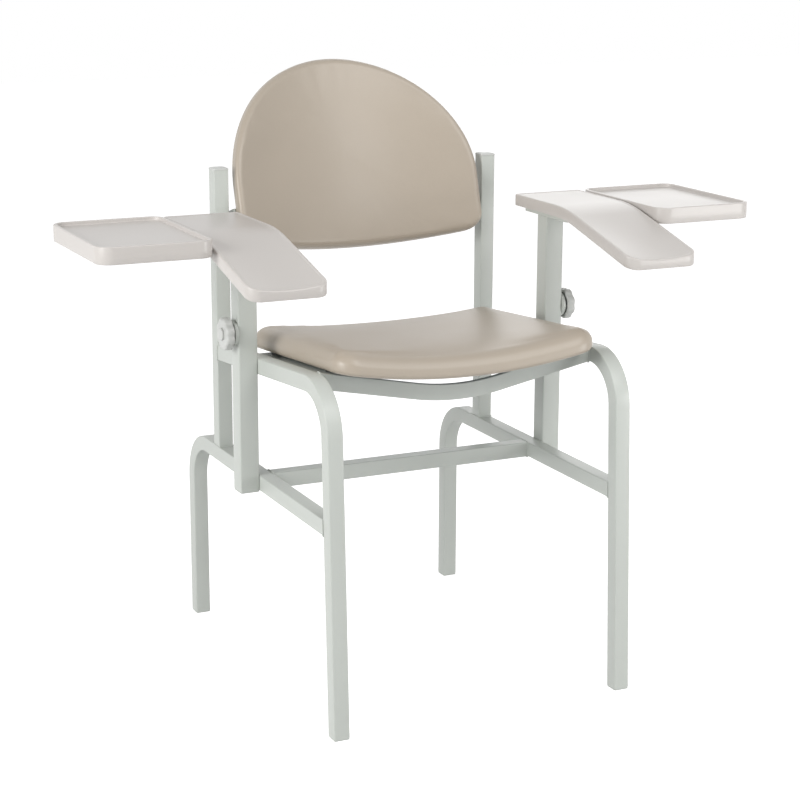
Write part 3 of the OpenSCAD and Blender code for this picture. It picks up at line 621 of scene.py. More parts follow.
def rubbed_finish(name, hue, peel, rub, shades, rough, relief, share, paler):
    """Dimpled finish with a paler rub along its edges. peel is (scale, fine share) and rub (low, high, scale);
    the rub covers at most share of the colour under it."""
    tree, shader = new_material(name, Specular_IOR_Level=0.5)
    skin = place_group(tree, "Peel", Scale=peel[0], Fine_Share=peel[1])
    mask = place_group(tree, "Edge Rub", Low=rub[0], High=rub[1], Break_Scale=rub[2])["Mask"]
    dress(tree, shader, hue, skin, shades, rough, relief, mask, share, paler)


class CHAIR_OT_finishes(bpy.types.Operator):
    """Makes the finishes of every piece"""

    bl_idname = "chair.finishes"
    bl_label = "Finishes"

    def execute(self, context):
        hues = context.scene.chair_colours
        make_peel_group()
        make_grain_group()
        make_rub_group()

        rubbed_finish(
            "Powder coat", hues.powder, peel=(1100.0, 0.25), rub=(0.54, 0.64, 60.0), shades=(0.975, 1.02),
            rough=(0.32, 0.42), relief=(0.10, 0.4 * MM), share=0.22, paler=1.16,
        )

        tree, shader = new_material("Vinyl", Specular_IOR_Level=0.5, Coat_Weight=0.12, Coat_Roughness=0.28)
        grain = place_group(tree, "Leather Grain", Scale=700.0, Stretch=0.3)
        dress(
            tree, shader, hues.vinyl, grain, shades=(0.97, 1.03), rough=(0.34, 0.43), relief=(0.10, 0.3 * MM),
            mask=grain["Valley"], share=0.14, mask_shade=0.75,
        )

        for name, hue, rough, strength in (
            ("Moulding", hues.moulding, (0.28, 0.36), 0.02),
            ("Knob plastic", hues.knob, (0.32, 0.42), 0.08),
            ("Board", hues.board, (0.42, 0.52), 0.16),
            ("Dark plastic", hues.dark, (0.45, 0.56), 0.14),
        ):
            rubbed_finish(
                name, hue, peel=(1500.0, 0.5), rub=(0.55, 0.66, 120.0), shades=(0.98, 1.02), rough=rough,
                relief=(strength, 0.3 * MM), share=0.05, paler=1.12,
            )

        tree, shader = new_material("Zinc steel", Metallic=1.0, Specular_IOR_Level=0.5)
        skin = place_group(tree, "Peel", Scale=2200.0, Fine_Share=0.8)
        dress(tree, shader, hues.steel, skin, shades=(0.90, 1.06), rough=(0.28, 0.42), relief=(0.08, 0.2 * MM))
        return {"FINISHED"}


# Frame


class FramePlaces:
    """Places on the frame that several pieces share, worked out from the sizes."""

    def __init__(self, sizes):
        self.tube = sizes.tube
        self.x = sizes.half_width - sizes.tube / 2
        self.inner = sizes.half_width - sizes.tube
        self.post_y = box_mid("left_arm_sleeve").y
        self.fall, self.lean = sizes.rail_fall, sizes.leg_lean
        self.level = sizes.rail_level
        self.foot_y = sizes.foot_front + sizes.tube / 2 / math.cos(self.lean)
        self.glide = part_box("left_front_leg_tube")[0][2]
        self.turn = math.pi / 2 - self.lean + self.fall
        self.leg_up = heading(self.lean)
        self.leg_out = -across(self.lean)
        out_y = sizes.bend_radius * (1 - math.cos(self.turn))
        out_z = sizes.bend_radius * math.sin(self.turn)
        whole = math.cos(self.lean) + math.tan(self.fall) * math.sin(self.lean)
        self.leg_run = (
            self.rail_z(self.foot_y)
            - out_y * (math.cos(self.lean) * math.tan(self.fall) - math.sin(self.lean))
            - out_z * whole
        ) / whole
        self.upright_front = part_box("left_upright")[0][1]
        self.upright_y = box_mid("left_upright").y
        self.rear_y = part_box("left_rear_leg_tube")[1][1] - sizes.tube / 2
        self.lower_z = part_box("left_rear_leg_tube")[1][2] - sizes.tube / 2

    def rail_z(self, y):
        """Height of the seat rail's centreline."""
        return self.level - self.tube / 2 / math.cos(self.fall) - (y - self.post_y) * math.tan(self.fall)


class CHAIR_OT_side_frames(bpy.types.Operator):
    """Makes the four bent tubes of the two side frames"""

    bl_idname = "chair.side_frames"
    bl_label = "Side Frames"

    def execute(self, context):
        sizes = context.scene.chair_frame
        at = FramePlaces(sizes)
        floor = (UP * at.glide, UP)
        back_face = (Vector((0, at.upright_front, 0)), Y_WAY)
        for name, side in SIDES:
            front, rear = Vector((side * at.x, at.foot_y, 0)), Vector((side * at.x, at.rear_y, 0))
            leg_face = (front + at.leg_out * sizes.tube / 2, at.leg_out)
            for kind, start, flip, lean, rise, turn, cut in (
                ("front", front, 1, at.lean, at.leg_run, at.turn, back_face),
                ("rear", rear, -1, 0.0, at.lower_z - sizes.bend_radius, math.pi / 2, leg_face),
            ):
                leg = f"{name}_{kind}_leg"
                mesh = bent_tube_mesh(leg, start, flip, lean, rise, turn, sizes, floor, cut)
                add_piece(mesh, "frame", "Powder coat", leg + "_tube")
        return {"FINISHED"}


# Rows of (growth of each side, height, corner) in mm
CAP_ROWS = (
    (-3.0, -17.0, 1.0), (-3.0, 0.0, 1.0), (0.5, 0.0, 3.0), (0.8, 0.6, 3.2),
    (0.6, 2.0, 3.2), (-0.8, 3.2, 3.0), (-4.0, 3.8, 2.5), (-8.0, 4.0, 1.5),
)
GLIDE_ROWS = (
    (-2.0, 16.0, 1.0), (-2.0, 4.0, 1.0), (-0.1, 4.0, 2.6), (0.0, 3.6, 2.7),
    (0.0, 1.2, 2.7), (-0.5, 0.3, 2.6), (-1.4, 0.0, 2.2),
)


class CHAIR_OT_uprights(bpy.types.Operator):
    """Makes the back uprights with their caps"""

    bl_idname = "chair.uprights"
    bl_label = "Uprights"

    def execute(self, context):
        sizes = context.scene.chair_frame
        caps = []
        for name, _ in SIDES:
            node = name + "_upright"
            mesh = standing_bar(name + "_back_upright", node, sizes.tube, sizes.tube_round)
            add_piece(mesh, "frame", "Powder coat", node)
            caps.append(stacked_mesh("cap", over(node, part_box(node)[1].z), sizes.tube, CAP_ROWS))
        add_piece(join_meshes("upright_plugs", caps), "frame", "Knob plastic", "upright_caps")
        return {"FINISHED"}


def front_bar_mesh(sizes, reach, low, high):
    """Flat bar across the front of the seat: two sloping wings with a round dip between them."""
    height, curve, slope = sizes.bar_high, sizes.bar_curve, sizes.bar_slope
    wing = math.atan(slope)
    radius = curve / math.sin(wing)
    end_z = high.z - height
    half_count, probe = 40, 0.5 * MM

    def bottom(x):
        if abs(x) > curve:
            return end_z - (reach - abs(x)) * slope
        sag = radius * math.cos(math.asin(abs(x) / radius)) - radius * math.cos(wing)
        return end_z - (reach - curve) * slope - sag

    section = rounded_section(high.y - low.y, height, sizes.bar_round, 4)
    rings = []
    for x in [reach * (i / half_count - 1) for i in range(2 * half_count + 1)]:
        if abs(x) < reach - probe:
            tilt = math.atan((bottom(x + probe) - bottom(x - probe)) / (2 * probe))
        else:
            tilt = math.copysign(wing, x)
        middle = Vector((x, (low.y + high.y) / 2, bottom(x) + height / 2))
        lift = Vector((-math.sin(tilt), 0, math.cos(tilt)))
        ring = [middle + Y_WAY * a + lift * b for a, b in section]
        if abs(abs(x) - reach) < SAME_POINT:
            along = Vector((math.cos(tilt), 0, math.sin(tilt)))
            ring = [to_plane(p, along, X_WAY * x, X_WAY) for p in ring]
        rings.append(ring)
    return ring_mesh("front_bar", rings)


class CHAIR_OT_cross_members(bpy.types.Operator):
    """Makes the lower crossbar and the two seat bars"""

    bl_idname = "chair.cross_members"
    bl_label = "Crossbar and Seat Bars"

    def execute(self, context):
        sizes = context.scene.chair_frame
        at = FramePlaces(sizes)
        mesh = lying_bar("crossbar", "lower_crossbar", at.inner, UP, sizes.tube, sizes.tube_round)
        add_piece(mesh, "frame", "Powder coat", "lower_crossbar")
        mesh = front_bar_mesh(sizes, at.inner, *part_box("front_seat_bar"))
        add_piece(mesh, "frame", "Powder coat", "front_seat_bar")
        mesh = lying_bar("rear_bar", "rear_seat_bar", at.inner, heading(at.fall), sizes.rear_bar, sizes.rear_round)
        add_piece(mesh, "frame", "Powder coat", "rear_seat_bar")
        return {"FINISHED"}


class CHAIR_OT_welds(bpy.types.Operator):
    """Makes the weld beads where the frame's members meet"""

    bl_idname = "chair.welds"
    bl_label = "Weld Beads"

    def execute(self, context):
        sizes = context.scene.chair_frame
        at = FramePlaces(sizes)
        off, grow, ease = 0.4 * MM, 0.8 * MM, 0.2 * MM
        full, corner = sizes.tube + grow, sizes.tube_round + off
        bar_low, bar_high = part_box("front_seat_bar")
        bar_z = bar_high.z - (sizes.bar_high + grow) / 2
        bar = (bar_high.y - bar_low.y + grow, sizes.bar_high + grow + ease, sizes.bar_round + ease)
        rear, rear_full = box_mid("rear_seat_bar"), sizes.rear_bar + grow
        beads = []
        for _, side in SIDES:
            x, inner = side * at.x, side * (at.inner - off)
            spot = Vector((x, at.foot_y, 0)) + at.leg_out * (at.tube / 2 + 0.3 * MM)
            spot += at.leg_up * ((at.lower_z - spot.z) / at.leg_up.z)
            rail_face = Vector((x, at.upright_front - off, at.rail_z(at.upright_front)))
            joints = [
                (Vector((inner, at.post_y, at.lower_z)), Y_WAY, UP, full, full, corner),
                (spot, X_WAY, at.leg_up, full, full, corner),
                (Vector((x, at.upright_y, at.lower_z + at.tube / 2 + off)), X_WAY, Y_WAY, full, full, corner),
                (rail_face, X_WAY, UP, full, full / math.cos(at.fall), corner),
                (Vector((inner, (bar_low.y + bar_high.y) / 2, bar_z)), Y_WAY, UP, *bar),
                (
                    Vector((inner, rear.y, rear.z)), -across(at.fall), heading(at.fall),
                    rear_full, rear_full, sizes.rear_round + ease,
                ),
            ]
            for k, joint in enumerate(joints):
                beads.append(bead_mesh(*joint, sizes.bead, 3.7 * k + side))
        add_piece(join_meshes("weld_beads", beads), "frame", "Powder coat")
        return {"FINISHED"}


class CHAIR_OT_sleeves(bpy.types.Operator):
    """Makes the arm sleeves with their bottom plugs"""

    bl_idname = "chair.sleeves"
    bl_label = "Arm Sleeves"

    def execute(self, context):
        corner = context.scene.chair_frame.sleeve_round / MM
        wall, ease, lip = 2.0, 0.4, 0.3  # in mm, as all rows are
        inner_corner = corner - 0.6 * wall
        plugs = []
        for name, _ in SIDES:
            node = name + "_arm_sleeve"
            low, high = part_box(node)
            foot, width, tall = over(node, low.z), high.x - low.x, (high.z - low.z) / MM
            floor = (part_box("sleeve_caps")[0].z - low.z) / MM
            rows = (
                (-wall, 0.0, inner_corner), (-lip, 0.0, corner), (0.0, ease, corner), (0.0, tall / 2, corner),
                (0.0, tall - ease, corner), (-lip, tall, corner), (-wall, tall, inner_corner),
                (-wall, 0.0, inner_corner),
            )
            mesh = stacked_mesh(name + "_sleeve", foot, width, rows, close_ends=False)
            add_piece(mesh, "frame", "Powder coat", node)
            rows = (
                (-2.3, 16.0, 2.0), (-2.3, 0.0, 2.0), (-0.2, 0.0, 3.0), (0.0, -0.5, 3.2),
                (-0.1, floor + 0.6, 3.2), (-0.8, floor, 3.0),
            )
            plugs.append(stacked_mesh("plug", foot, width, rows))
        add_piece(join_meshes("sleeve_plugs", plugs), "frame", "Powder coat", "sleeve_caps")
        return {"FINISHED"}


class CHAIR_OT_feet(bpy.types.Operator):
    """Makes the four foot glides"""

    bl_idname = "chair.feet"
    bl_label = "Foot Glides"

    def execute(self, context):
        sizes = context.scene.chair_frame
        at = FramePlaces(sizes)
        glides = []
        for _, side in SIDES:
            for y, lean in ((at.foot_y, at.lean), (at.rear_y, 0.0)):
                glides.append(stacked_mesh("glide", Vector((side * at.x, y, 0)), sizes.tube, GLIDE_ROWS, lean))
        add_piece(join_meshes("glides", glides), "frame", "Powder coat", "foot_glides")
        return {"FINISHED"}


# Pads: closed skins through rings of one outline


def even_points(dense, count):
    """Points spaced evenly along a closed line."""
    steps = [math.dist(p, dense[(i + 1) % len(dense)]) for i, p in enumerate(dense)]
    total = sum(steps)
    points, gone, k = [], 0.0, 0
    for i in range(count):
        want = total * i / count
        while gone + steps[k] < want:
            gone += steps[k]
            k += 1
        p, q = dense[k], dense[(k + 1) % len(dense)]
        points.append(between(p, q, (want - gone) / steps[k] if steps[k] else 0.0))
    return points


def oblong(width, depth, radius, count):
    """Even points round an oblong with rounded corners."""
    apart = 1e-7  # keeps neighbouring points from falling together
    section = rounded_section(width, depth, radius, 24)
    return even_points([(x + apart * i, y) for i, (x, y) in enumerate(section)], count)


def pad_outline(back, count):
    """Even points round the back pad: an arch, straight sides, rounded lower corners and a bowed lower edge."""
    a, down, corner, power = back.width / 2, back.lower, back.corner, 2 / back.arch_power
    side, arch_steps, side_steps, edge_steps, corner_steps = down - corner, 600, 12, 30, 24
    points = []
    for i in range(arch_steps + 1):
        c, v = math.cos(math.pi * i / arch_steps), math.sin(math.pi * i / arch_steps)
        points.append((a * math.copysign(abs(c) ** power, c), back.arch * max(v, 0.0) ** power))
    low = [(-a, -side * i / side_steps) for i in range(1, side_steps)]
    for start, x in ((180, -1), (270, 1)):
        for t in turns(start, start + 90, corner_steps):
            low.append((x * (a - corner) + corner * math.cos(t), -side + corner * math.sin(t)))
        if x < 0:
            low += [((a - corner) * (i / edge_steps - 1), -down) for i in range(1, 2 * edge_steps)]
    low += [(a, -side * (1 - i / side_steps)) for i in range(1, side_steps)]
    points += [(x, y - back.bow * (1 - (x / a) ** 2) * (y / down) ** 2) for x, y in low]
    return even_points(points, count)


def pad_mesh(name, outline, rows, place, hub=0.0):
    """Pad through rows of (share of the outline, inset, height), each point set in space by place(x, y, height).
    Shares draw the outline in towards the point (0, hub)."""
    inward = []
    for i in range(len(outline)):
        q, r = outline[i - 1], outline[(i + 1) % len(outline)]
        way = Vector((r[0] - q[0], r[1] - q[1])).normalized()
        inward.append((-way.y, way.x))
    rings = []
    for share, inset, height in rows:
        rings.append([
            place(p[0] * share + n[0] * inset, hub + (p[1] - hub) * share + n[1] * inset, height)
            for p, n in zip(outline, inward)
        ])
    return ring_mesh(name, rings)


def arc_rows(inwards, base, upwards, start, end, steps):
    """Rows round a pad's edge, by angles in degrees from straight out to straight up."""
    angles = turns(start, end, steps)
    return [(1.0, inwards - inwards * math.cos(a), base + upwards * math.sin(a)) for a in angles]


def cover_rows(shares, board, seam, radius):
    """Rows of a pad's rear: the face that lies on its board, then the board's edge and the cover's turn-in."""
    inside, inner = board + COVER_GAP, seam - COVER_GAP
    rows = [(k, 0.0, inside) for k in shares]
    rows += [(1.0, inner, inside), (1.0, inner, 0.8 * MM)]
    rows += [(1.0, seam - 0.8 * MM, 0.1 * MM), (1.0, seam - 2 * MM, 0.0)]
    return rows + arc_rows(radius, radius, radius, -80, 0, 6)


def board_rows(shares, board, seam, chamfer):
    """Rows of a board with eased edges."""
    rows = [(k, 0.0, 0.0) for k in shares]
    rows += [(1.0, seam + 1 * MM, 0.0), (1.0, seam + 0.2 * MM, 0.3 * MM), (1.0, seam, 1 * MM)]
    rows += [(1.0, seam, board - MM), (1.0, seam + chamfer, board)]
    return rows + [(k, 0.0, board) for k in reversed(shares)]


def smooth_step(low, high, value):
    t = min(1.0, max(0.0, (value - low) / (high - low)))
    return t * t * (3 - 2 * t)


def stuffed(pad, cap, held):
    """Lets the pad's cover swell over its stuffing in a cloth simulation, and adds the moves, capped, to the pad.
    held gives 0 where a point of the pad stays in its place, and 1 where it is free."""
    voxel, last_frame, neighbours, ease = 6 * MM, 20, 8, 2 * MM
    scene = bpy.context.scene
    cover = bpy.data.objects.new("cover", pad.data.copy())
    scene.collection.objects.link(cover)

    def worked_out():
        return cover.evaluated_get(bpy.context.evaluated_depsgraph_get())

    remesh = cover.modifiers.new("Remesh", "REMESH")
    remesh.mode, remesh.voxel_size = "VOXEL", voxel
    shaped = bpy.data.meshes.new_from_object(worked_out())
    cover.modifiers.clear()
    cover.data = shaped
    pins = cover.vertex_groups.new(name="held")
    start = [v.co.copy() for v in shaped.vertices]
    for i, place in enumerate(start):
        pins.add([i], 1.0 - held(place), "REPLACE")
    cloth = cover.modifiers.new("Cloth", "CLOTH")
    cloth.settings.quality = 5
    cloth.settings.mass = 0.4
    cloth.settings.tension_stiffness = cloth.settings.compression_stiffness = 40
    cloth.settings.bending_stiffness = 2.0
    cloth.settings.use_pressure = True
    cloth.settings.uniform_pressure_force = 4.0
    cloth.settings.effector_weights.gravity = 0.0
    cloth.settings.vertex_group_mass = "held"
    cloth.collision_settings.use_collision = False
    cloth.point_cache.frame_start, cloth.point_cache.frame_end = 1, last_frame
    for frame_number in range(1, last_frame + 1):
        scene.frame_set(frame_number)
    swollen = worked_out().to_mesh()
    moves = [v.co - p for v, p in zip(swollen.vertices, start)]
    tree = KDTree(len(start))
    for i, place in enumerate(start):
        tree.insert(place, i)
    tree.balance()
    for vert in pad.data.vertices:
        near = tree.find_n(vert.co, neighbours)
        move = sum((moves[i] / (d + ease) for _, i, d in near), Vector()) / sum(1 / (d + ease) for _, _, d in near)
        size = move.length
        if size > 0:
            vert.co += move / size * cap * math.tanh(size / cap) * held(vert.co)
    worked_out().to_mesh_clear()
    bpy.data.objects.remove(cover)
    scene.frame_set(1)
    pad.data.update()


def seat_matrix():
    at = FramePlaces(settings()[0])
    y = box_mid("seat_cushion").y
    level = at.rail_z(y) + at.tube / 2 / math.cos(at.fall)
    return Matrix.Translation((0, y, level)) @ Matrix.Rotation(-at.fall, 4, "X")


def seat_dip(seat, x, y):
    share = 0.5 - y / seat.depth
    dish = seat.dish_back + (seat.dish_front - seat.dish_back) * share
    return seat.lift - dish * (1 - min(1.0, (2 * x / seat.width) ** 2))


class CHAIR_OT_seat(bpy.types.Operator):
    """Makes the seat cushion and the pan under it"""

    bl_idname = "chair.seat"
    bl_label = "Seat"

    def execute(self, context):
        seat = context.scene.chair_seat
        turn = seat_matrix()
        unturn = turn.inverted()
        outline = oblong(seat.width, seat.depth, seat.corner, count=208)
        shares = (0.03, 0.18, 0.4, 0.62, 0.84)
        held_under, free_over = 10 * MM, 26 * MM

        def place(x, y, height):
            return turn @ Vector((x, y, height + seat_dip(seat, x, y)))

        def free(p):
            q = unturn @ p
            return smooth_step(held_under, free_over, q.z - seat_dip(seat, q.x, q.y))

        rows = cover_rows(shares, seat.pan, seat.pan_inset, seat.round_low)
        rows += arc_rows(seat.round_in, seat.edge - seat.round_down, seat.round_down, 4, 88, 14)
        top = [(0.84, 0.22), (0.78, 0.36), (0.69, 0.55)]  # share of the outline, share of the crown
        top += [(k, 1 - k * k) for k in (0.54, 0.4, 0.26, 0.12, 0.03)]
        rows += [(k, 0.0, seat.edge + seat.crown * rise) for k, rise in top]
        cushion = add_piece(pad_mesh("seat_pad", outline, rows, place), "frame", "Vinyl", "seat_cushion")
        stuffed(cushion, seat.swell, free)

        rows = board_rows(shares, seat.pan, seat.pan_inset, 0.8 * MM)
        add_piece(pad_mesh("seat_board", outline, rows, place), "frame", "Board", "seat_pan")
        return {"FINISHED"}


def back_matrix(back):
    pivot = (0, box_mid("left_upright").y, box_mid("pivot_studs").z)
    return Matrix.Translation(pivot) @ Matrix.Rotation(-back.lean, 4, "X")


class CHAIR_OT_back(bpy.types.Operator):
    """Makes the back cushion and its board"""

    bl_idname = "chair.back"
    bl_label = "Back"

    def execute(self, context):
        back = context.scene.chair_back
        turn = back_matrix(back)
        unturn = turn.inverted()
        outline = pad_outline(back, count=236)
        hub, shares = 58 * MM, (0.03, 0.2, 0.42, 0.64, 0.84)
        held_under, free_over = 11 * MM, 24 * MM

        def rear_face(x):
            return back.set_back - back.wrap * (2 * x / back.width) ** 2

        def place(x, y, depth):
            return turn @ Vector((x, rear_face(x) - depth, y + back.middle))

        def free(p):
            q = unturn @ p
            return smooth_step(held_under, free_over, rear_face(q.x) - q.y)

        high = back.board + COVER_GAP + back.thickness
        rows = cover_rows(shares, back.board, back.board_inset, back.round_rear)
        rows += arc_rows(back.round_front, high - back.round_front, back.round_front, 0, 88, 12)
        rows += [(1.0, 16 * MM, high + 0.1 * MM), (1.0, 20 * MM, high + 0.2 * MM)]
        rows += [(k, 0.0, high + 0.4 * MM) for k in (0.80, 0.6, 0.4, 0.2, 0.03)]
        cushion = add_piece(pad_mesh("back_pad", outline, rows, place, hub), "back", "Vinyl", "back_cushion")
        stuffed(cushion, back.swell, free)

        rows = board_rows(shares, back.board, back.board_inset, 0.6 * MM)
        add_piece(pad_mesh("back_shell", outline, rows, place, hub), "back", "Board", "back_board")
        return {"FINISHED"}


# Arms


def arm_drop(arms, s):
    """Drop of the armrest's top under its flat part, s along from the back edge."""
    run = arms.bend_radius * math.tan(arms.slope / 2)
    over = s - arms.flat + run
    if over <= 0:
        return 0.0
    if over < arms.bend_radius * math.sin(arms.slope):
        return arms.bend_radius - math.sqrt(arms.bend_radius**2 - over**2)
    return (s - arms.flat) * math.tan(arms.slope)


class CHAIR_OT_armrests(bpy.types.Operator):
    """Makes the two armrests with their dished front parts"""

    bl_idname = "chair.armrests"
    bl_label = "Armrests"

    def execute(self, context):
        arms = context.scene.chair_arms
        low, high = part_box("right_armrest")
        width, depth = high.x - low.x, high.y - low.y
        probe, dish_from, dish_to = 0.5 * MM, 0.30 * depth, 0.98 * depth
        outline = plan_outline(width, depth, arms.back_corner, arms.front_corner, 3 * MM)
        rows = slab_sides(arms.thick, arms.edge_round, (1.0, 0.7, 0.35, 0.1), True)
        for k, drop in ((0, 0), (0.006, 0.25), (0.014, 0.75), (0.022, 1), (0.03, 1)):
            rows.append((arms.rim, k, -arms.crease * drop, True))
        rows += [(arms.rim, k, -arms.crease, True) for k in (0.1, 0.18, 0.27, 0.37, 0.48, 0.6, 0.74, 0.88, 1.0)]
        for name, side in SIDES:

            def place(x, s, height, on_top):
                tilt = math.atan((arm_drop(arms, s + probe) - arm_drop(arms, s - probe)) / (2 * probe))
                z = high.z - arm_drop(arms, s) + height / math.cos(tilt)
                if on_top:
                    off_middle = min(1.0, abs(x - width / 2) / (width / 2 - arms.rim))
                    z -= arms.dish * smooth_step(dish_from, dish_to, s) * (1 - off_middle**2)
                return Vector((side * (low.x + x), high.y - s, z))

            mesh = slab_mesh(name + "_arm_pad", outline, width, depth, rows, place)
            add_piece(mesh, name + "_arm", "Moulding", name + "_armrest")
        return {"FINISHED"}


class CHAIR_OT_trays(bpy.types.Operator):
    """Makes the two side trays"""

    bl_idname = "chair.trays"
    bl_label = "Side Trays"

    def execute(self, context):
        arms = context.scene.chair_arms
        low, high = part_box("right_tray")
        width, depth = high.x - low.x, high.y - low.y
        rim, deep = arms.tray_rim, arms.tray_depth
        outer, inner, foot, wall_slant, floor_in = 1.8 * MM, 1.2 * MM, 1.6 * MM, 0.3 * MM, 3 * MM
        outline = plan_outline(width, depth, arms.tray_corner, arms.tray_corner, 12 * MM)
        rows = slab_sides(high.z - low.z, outer, (1.0, 0.6, 0.2), False)
        quarter = turns(0, 90, 5)
        rows += [(rim - inner + inner * math.sin(a), 0, -inner * (1 - math.cos(a)), False) for a in quarter]
        for a in quarter:
            inset = rim + wall_slant + foot * (1 - math.cos(a))
            rows.append((inset, 0, -deep + foot * (1 - math.sin(a)), False))
        rows += [(rim + floor_in, k, -deep, False) for k in (0.15, 0.45, 0.75, 1.0)]
        for name, side in SIDES:

            def place(x, s, height, on_top):
                return Vector((side * (low.x + x), high.y - s, high.z + height))

            mesh = slab_mesh(name + "_side_tray", outline, width, depth, rows, place)
            add_piece(mesh, name + "_arm", "Moulding", name + "_tray")
        return {"FINISHED"}


class CHAIR_OT_posts(bpy.types.Operator):
    """Makes the sliding posts inside the sleeves"""

    bl_idname = "chair.posts"
    bl_label = "Arm Posts"

    def execute(self, context):
        corner = context.scene.chair_arms.post_round
        for name, _ in SIDES:
            node = name + "_inner_post"
            mesh = standing_bar(name + "_post", node, box_size(node).x, corner)
            add_piece(mesh, name + "_arm", "Zinc steel", node)
        return {"FINISHED"}


# Rows of (radius, height, share of the lobes' depth) in mm
KNOB_RADIUS, KNOB_HEIGHT, KNOB_LOBES = 27.0, 16.0, 8
KNOB_ROWS = (
    (11.0, 12.0, 0), (19.0, 12.0, 0), (19.6, 3.0, 0), (20.5, 0.6, 0.3), (21.5, 0.0, 0.4), (25.0, 0.0, 1),
    (26.4, 0.6, 1), (27.0, 2.0, 1), (27.0, 11.5, 1), (26.6, 13.6, 1), (25.2, 15.2, 1), (23.0, 16.0, 1),
    (20.0, 15.9, 0.6), (17.0, 15.2, 0.2), (12.0, 15.0, 0), (10.4, 15.2, 0), (9.9, 15.0, 0), (9.9, 14.6, 0),
    (0.4, 14.6, 0),
)


class CHAIR_OT_knobs(bpy.types.Operator):
    """Makes the clamp knobs"""

    bl_idname = "chair.knobs"
    bl_label = "Clamp Knobs"

    def execute(self, context):
        depth = context.scene.chair_arms.lobe_depth
        for name, side in SIDES:
            low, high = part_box(name + "_knob")
            wide, tall = (high.y - low.y) / 2 / KNOB_RADIUS, (high.x - low.x) / KNOB_HEIGHT
            rows = [(radius * wide, height * tall, share) for radius, height, share in KNOB_ROWS]
            mesh = lobed_mesh(name + "_grip", rows, KNOB_LOBES, depth)
            seat = box_mid(name + "_knob")
            seat.x = low.x if side > 0 else high.x
            half_lobe = Matrix.Rotation(math.pi / KNOB_LOBES, 4, "Z")
            mesh.transform(Matrix.Translation(seat) @ Matrix.Rotation(side * math.pi / 2, 4, "Y") @ half_lobe)
            add_piece(outward(mesh), name + "_knob", "Knob plastic", name + "_knob")
        return {"FINISHED"}


# Small parts


def softened(node, width):
    """The node's own mesh with its flat faces made whole and its edges rounded."""
    flat, sharp = math.radians(1.0), math.radians(30.0)
    bm = node_bmesh(node)
    bmesh.ops.dissolve_limit(bm, angle_limit=flat, verts=bm.verts, edges=bm.edges)
    edges = [e for e in bm.edges if len(e.link_faces) == 2 and e.calc_face_angle(0.0) > sharp]
    bmesh.ops.bevel(bm, geom=edges, offset=width, segments=2, profile=0.5, affect="EDGES", clamp_overlap=True)
    return mesh_from(bm, node + "_shape")


# Rows of (node, body, finish, rounding in mm); those of the sides are there twice, with the side before the name
SMALL_PARTS = (
    ("seat_tabs", "frame", "Powder coat", 0.5),
    ("seat_spacers", "frame", "Dark plastic", 0.4),
    ("pivot_studs", "frame", "Zinc steel", 0.6),
    ("back_brackets", "back", "Powder coat", 0.5),
    ("pivot_bushes", "back", "Dark plastic", 0.4),
)
SIDE_PARTS = (
    ("sleeve_bush", "frame", "Dark plastic", 0.3),
    ("clamp_nut", "frame", "Powder coat", 0.8),
    ("arm_plate", "arm", "Powder coat", 0.8),
    ("tray_straps", "arm", "Powder coat", 0.5),
    ("post_slider", "arm", "Dark plastic", 0.5),
    ("knob_stud", "knob", "Zinc steel", 0.5),
    ("knob_cap", "knob", "Knob plastic", 0.5),
)


class CHAIR_OT_small_parts(bpy.types.Operator):
    """Makes the seat strips, brackets, plates, straps, bushes, studs and caps with rounded edges"""

    bl_idname = "chair.small_parts"
    bl_label = "Strips, Brackets and Plates"

    def execute(self, context):
        slots = node_slots()
        parts = list(SMALL_PARTS)
        for node, body, finish, width in SIDE_PARTS:
            for name, _ in SIDES:
                rides = body if body == "frame" else f"{name}_{body}"
                parts.append((f"{name}_{node}", rides, finish, width))
        for node, body, finish, width in parts:
            add_piece(softened(node, width * MM), body, finish, node, slot=slots[node])
        return {"FINISHED"}


def screw_mesh(head, way, total, head_size, head_tall, shank):
    """Screw with a domed head and a hexagon socket; head is the middle of its outer face, way runs to the tip."""
    angles, sixth = circle(48), math.pi / 6
    big, thin = head_size / 2, shank / 2
    # The shank from its tip, the head's side and dome, then the hexagon socket, in shares of the head's size
    rows = [(thin * 0.3, total), (thin * 0.75, total), (thin, total - 0.5 * MM), (thin, head_tall)]
    for k, h in ((0.94, 1.0), (1.0, 0.9), (1.0, 0.62), (0.93, 0.34), (0.8, 0.12), (0.62, 0.0)):
        rows.append((big * k, head_tall * h))
    rings = [[(r * math.cos(t), r * math.sin(t), h) for t in angles] for r, h in rows]
    for k, h in ((0.52, 0.0), (0.5, 0.08), (0.5, 0.62), (0.2, 0.66)):
        ring = []
        for t in angles:
            r = big * k * math.cos(sixth) / math.cos(t % (2 * sixth) - sixth)
            ring.append((r * math.cos(t), r * math.sin(t), head_tall * h))
        rings.append(ring)
    mesh = ring_mesh("screw", rings)
    mesh.transform(Matrix.Translation(head) @ way.to_track_quat("Z", "Y").to_matrix().to_4x4())
    return mesh


def loose_parts(node):
    """Points of each separate solid of a node."""
    bm = node_bmesh(node)
    left, parts = set(bm.verts), []
    for first in bm.verts:
        if first not in left:
            continue
        left.remove(first)
        queue, part = [first], []
        while queue:
            vert = queue.pop()
            part.append(vert.co.copy())
            for edge in vert.link_edges:
                other = edge.other_vert(vert)
                if other in left:
                    left.remove(other)
                    queue.append(other)
        parts.append(part)
    bm.free()
    return parts


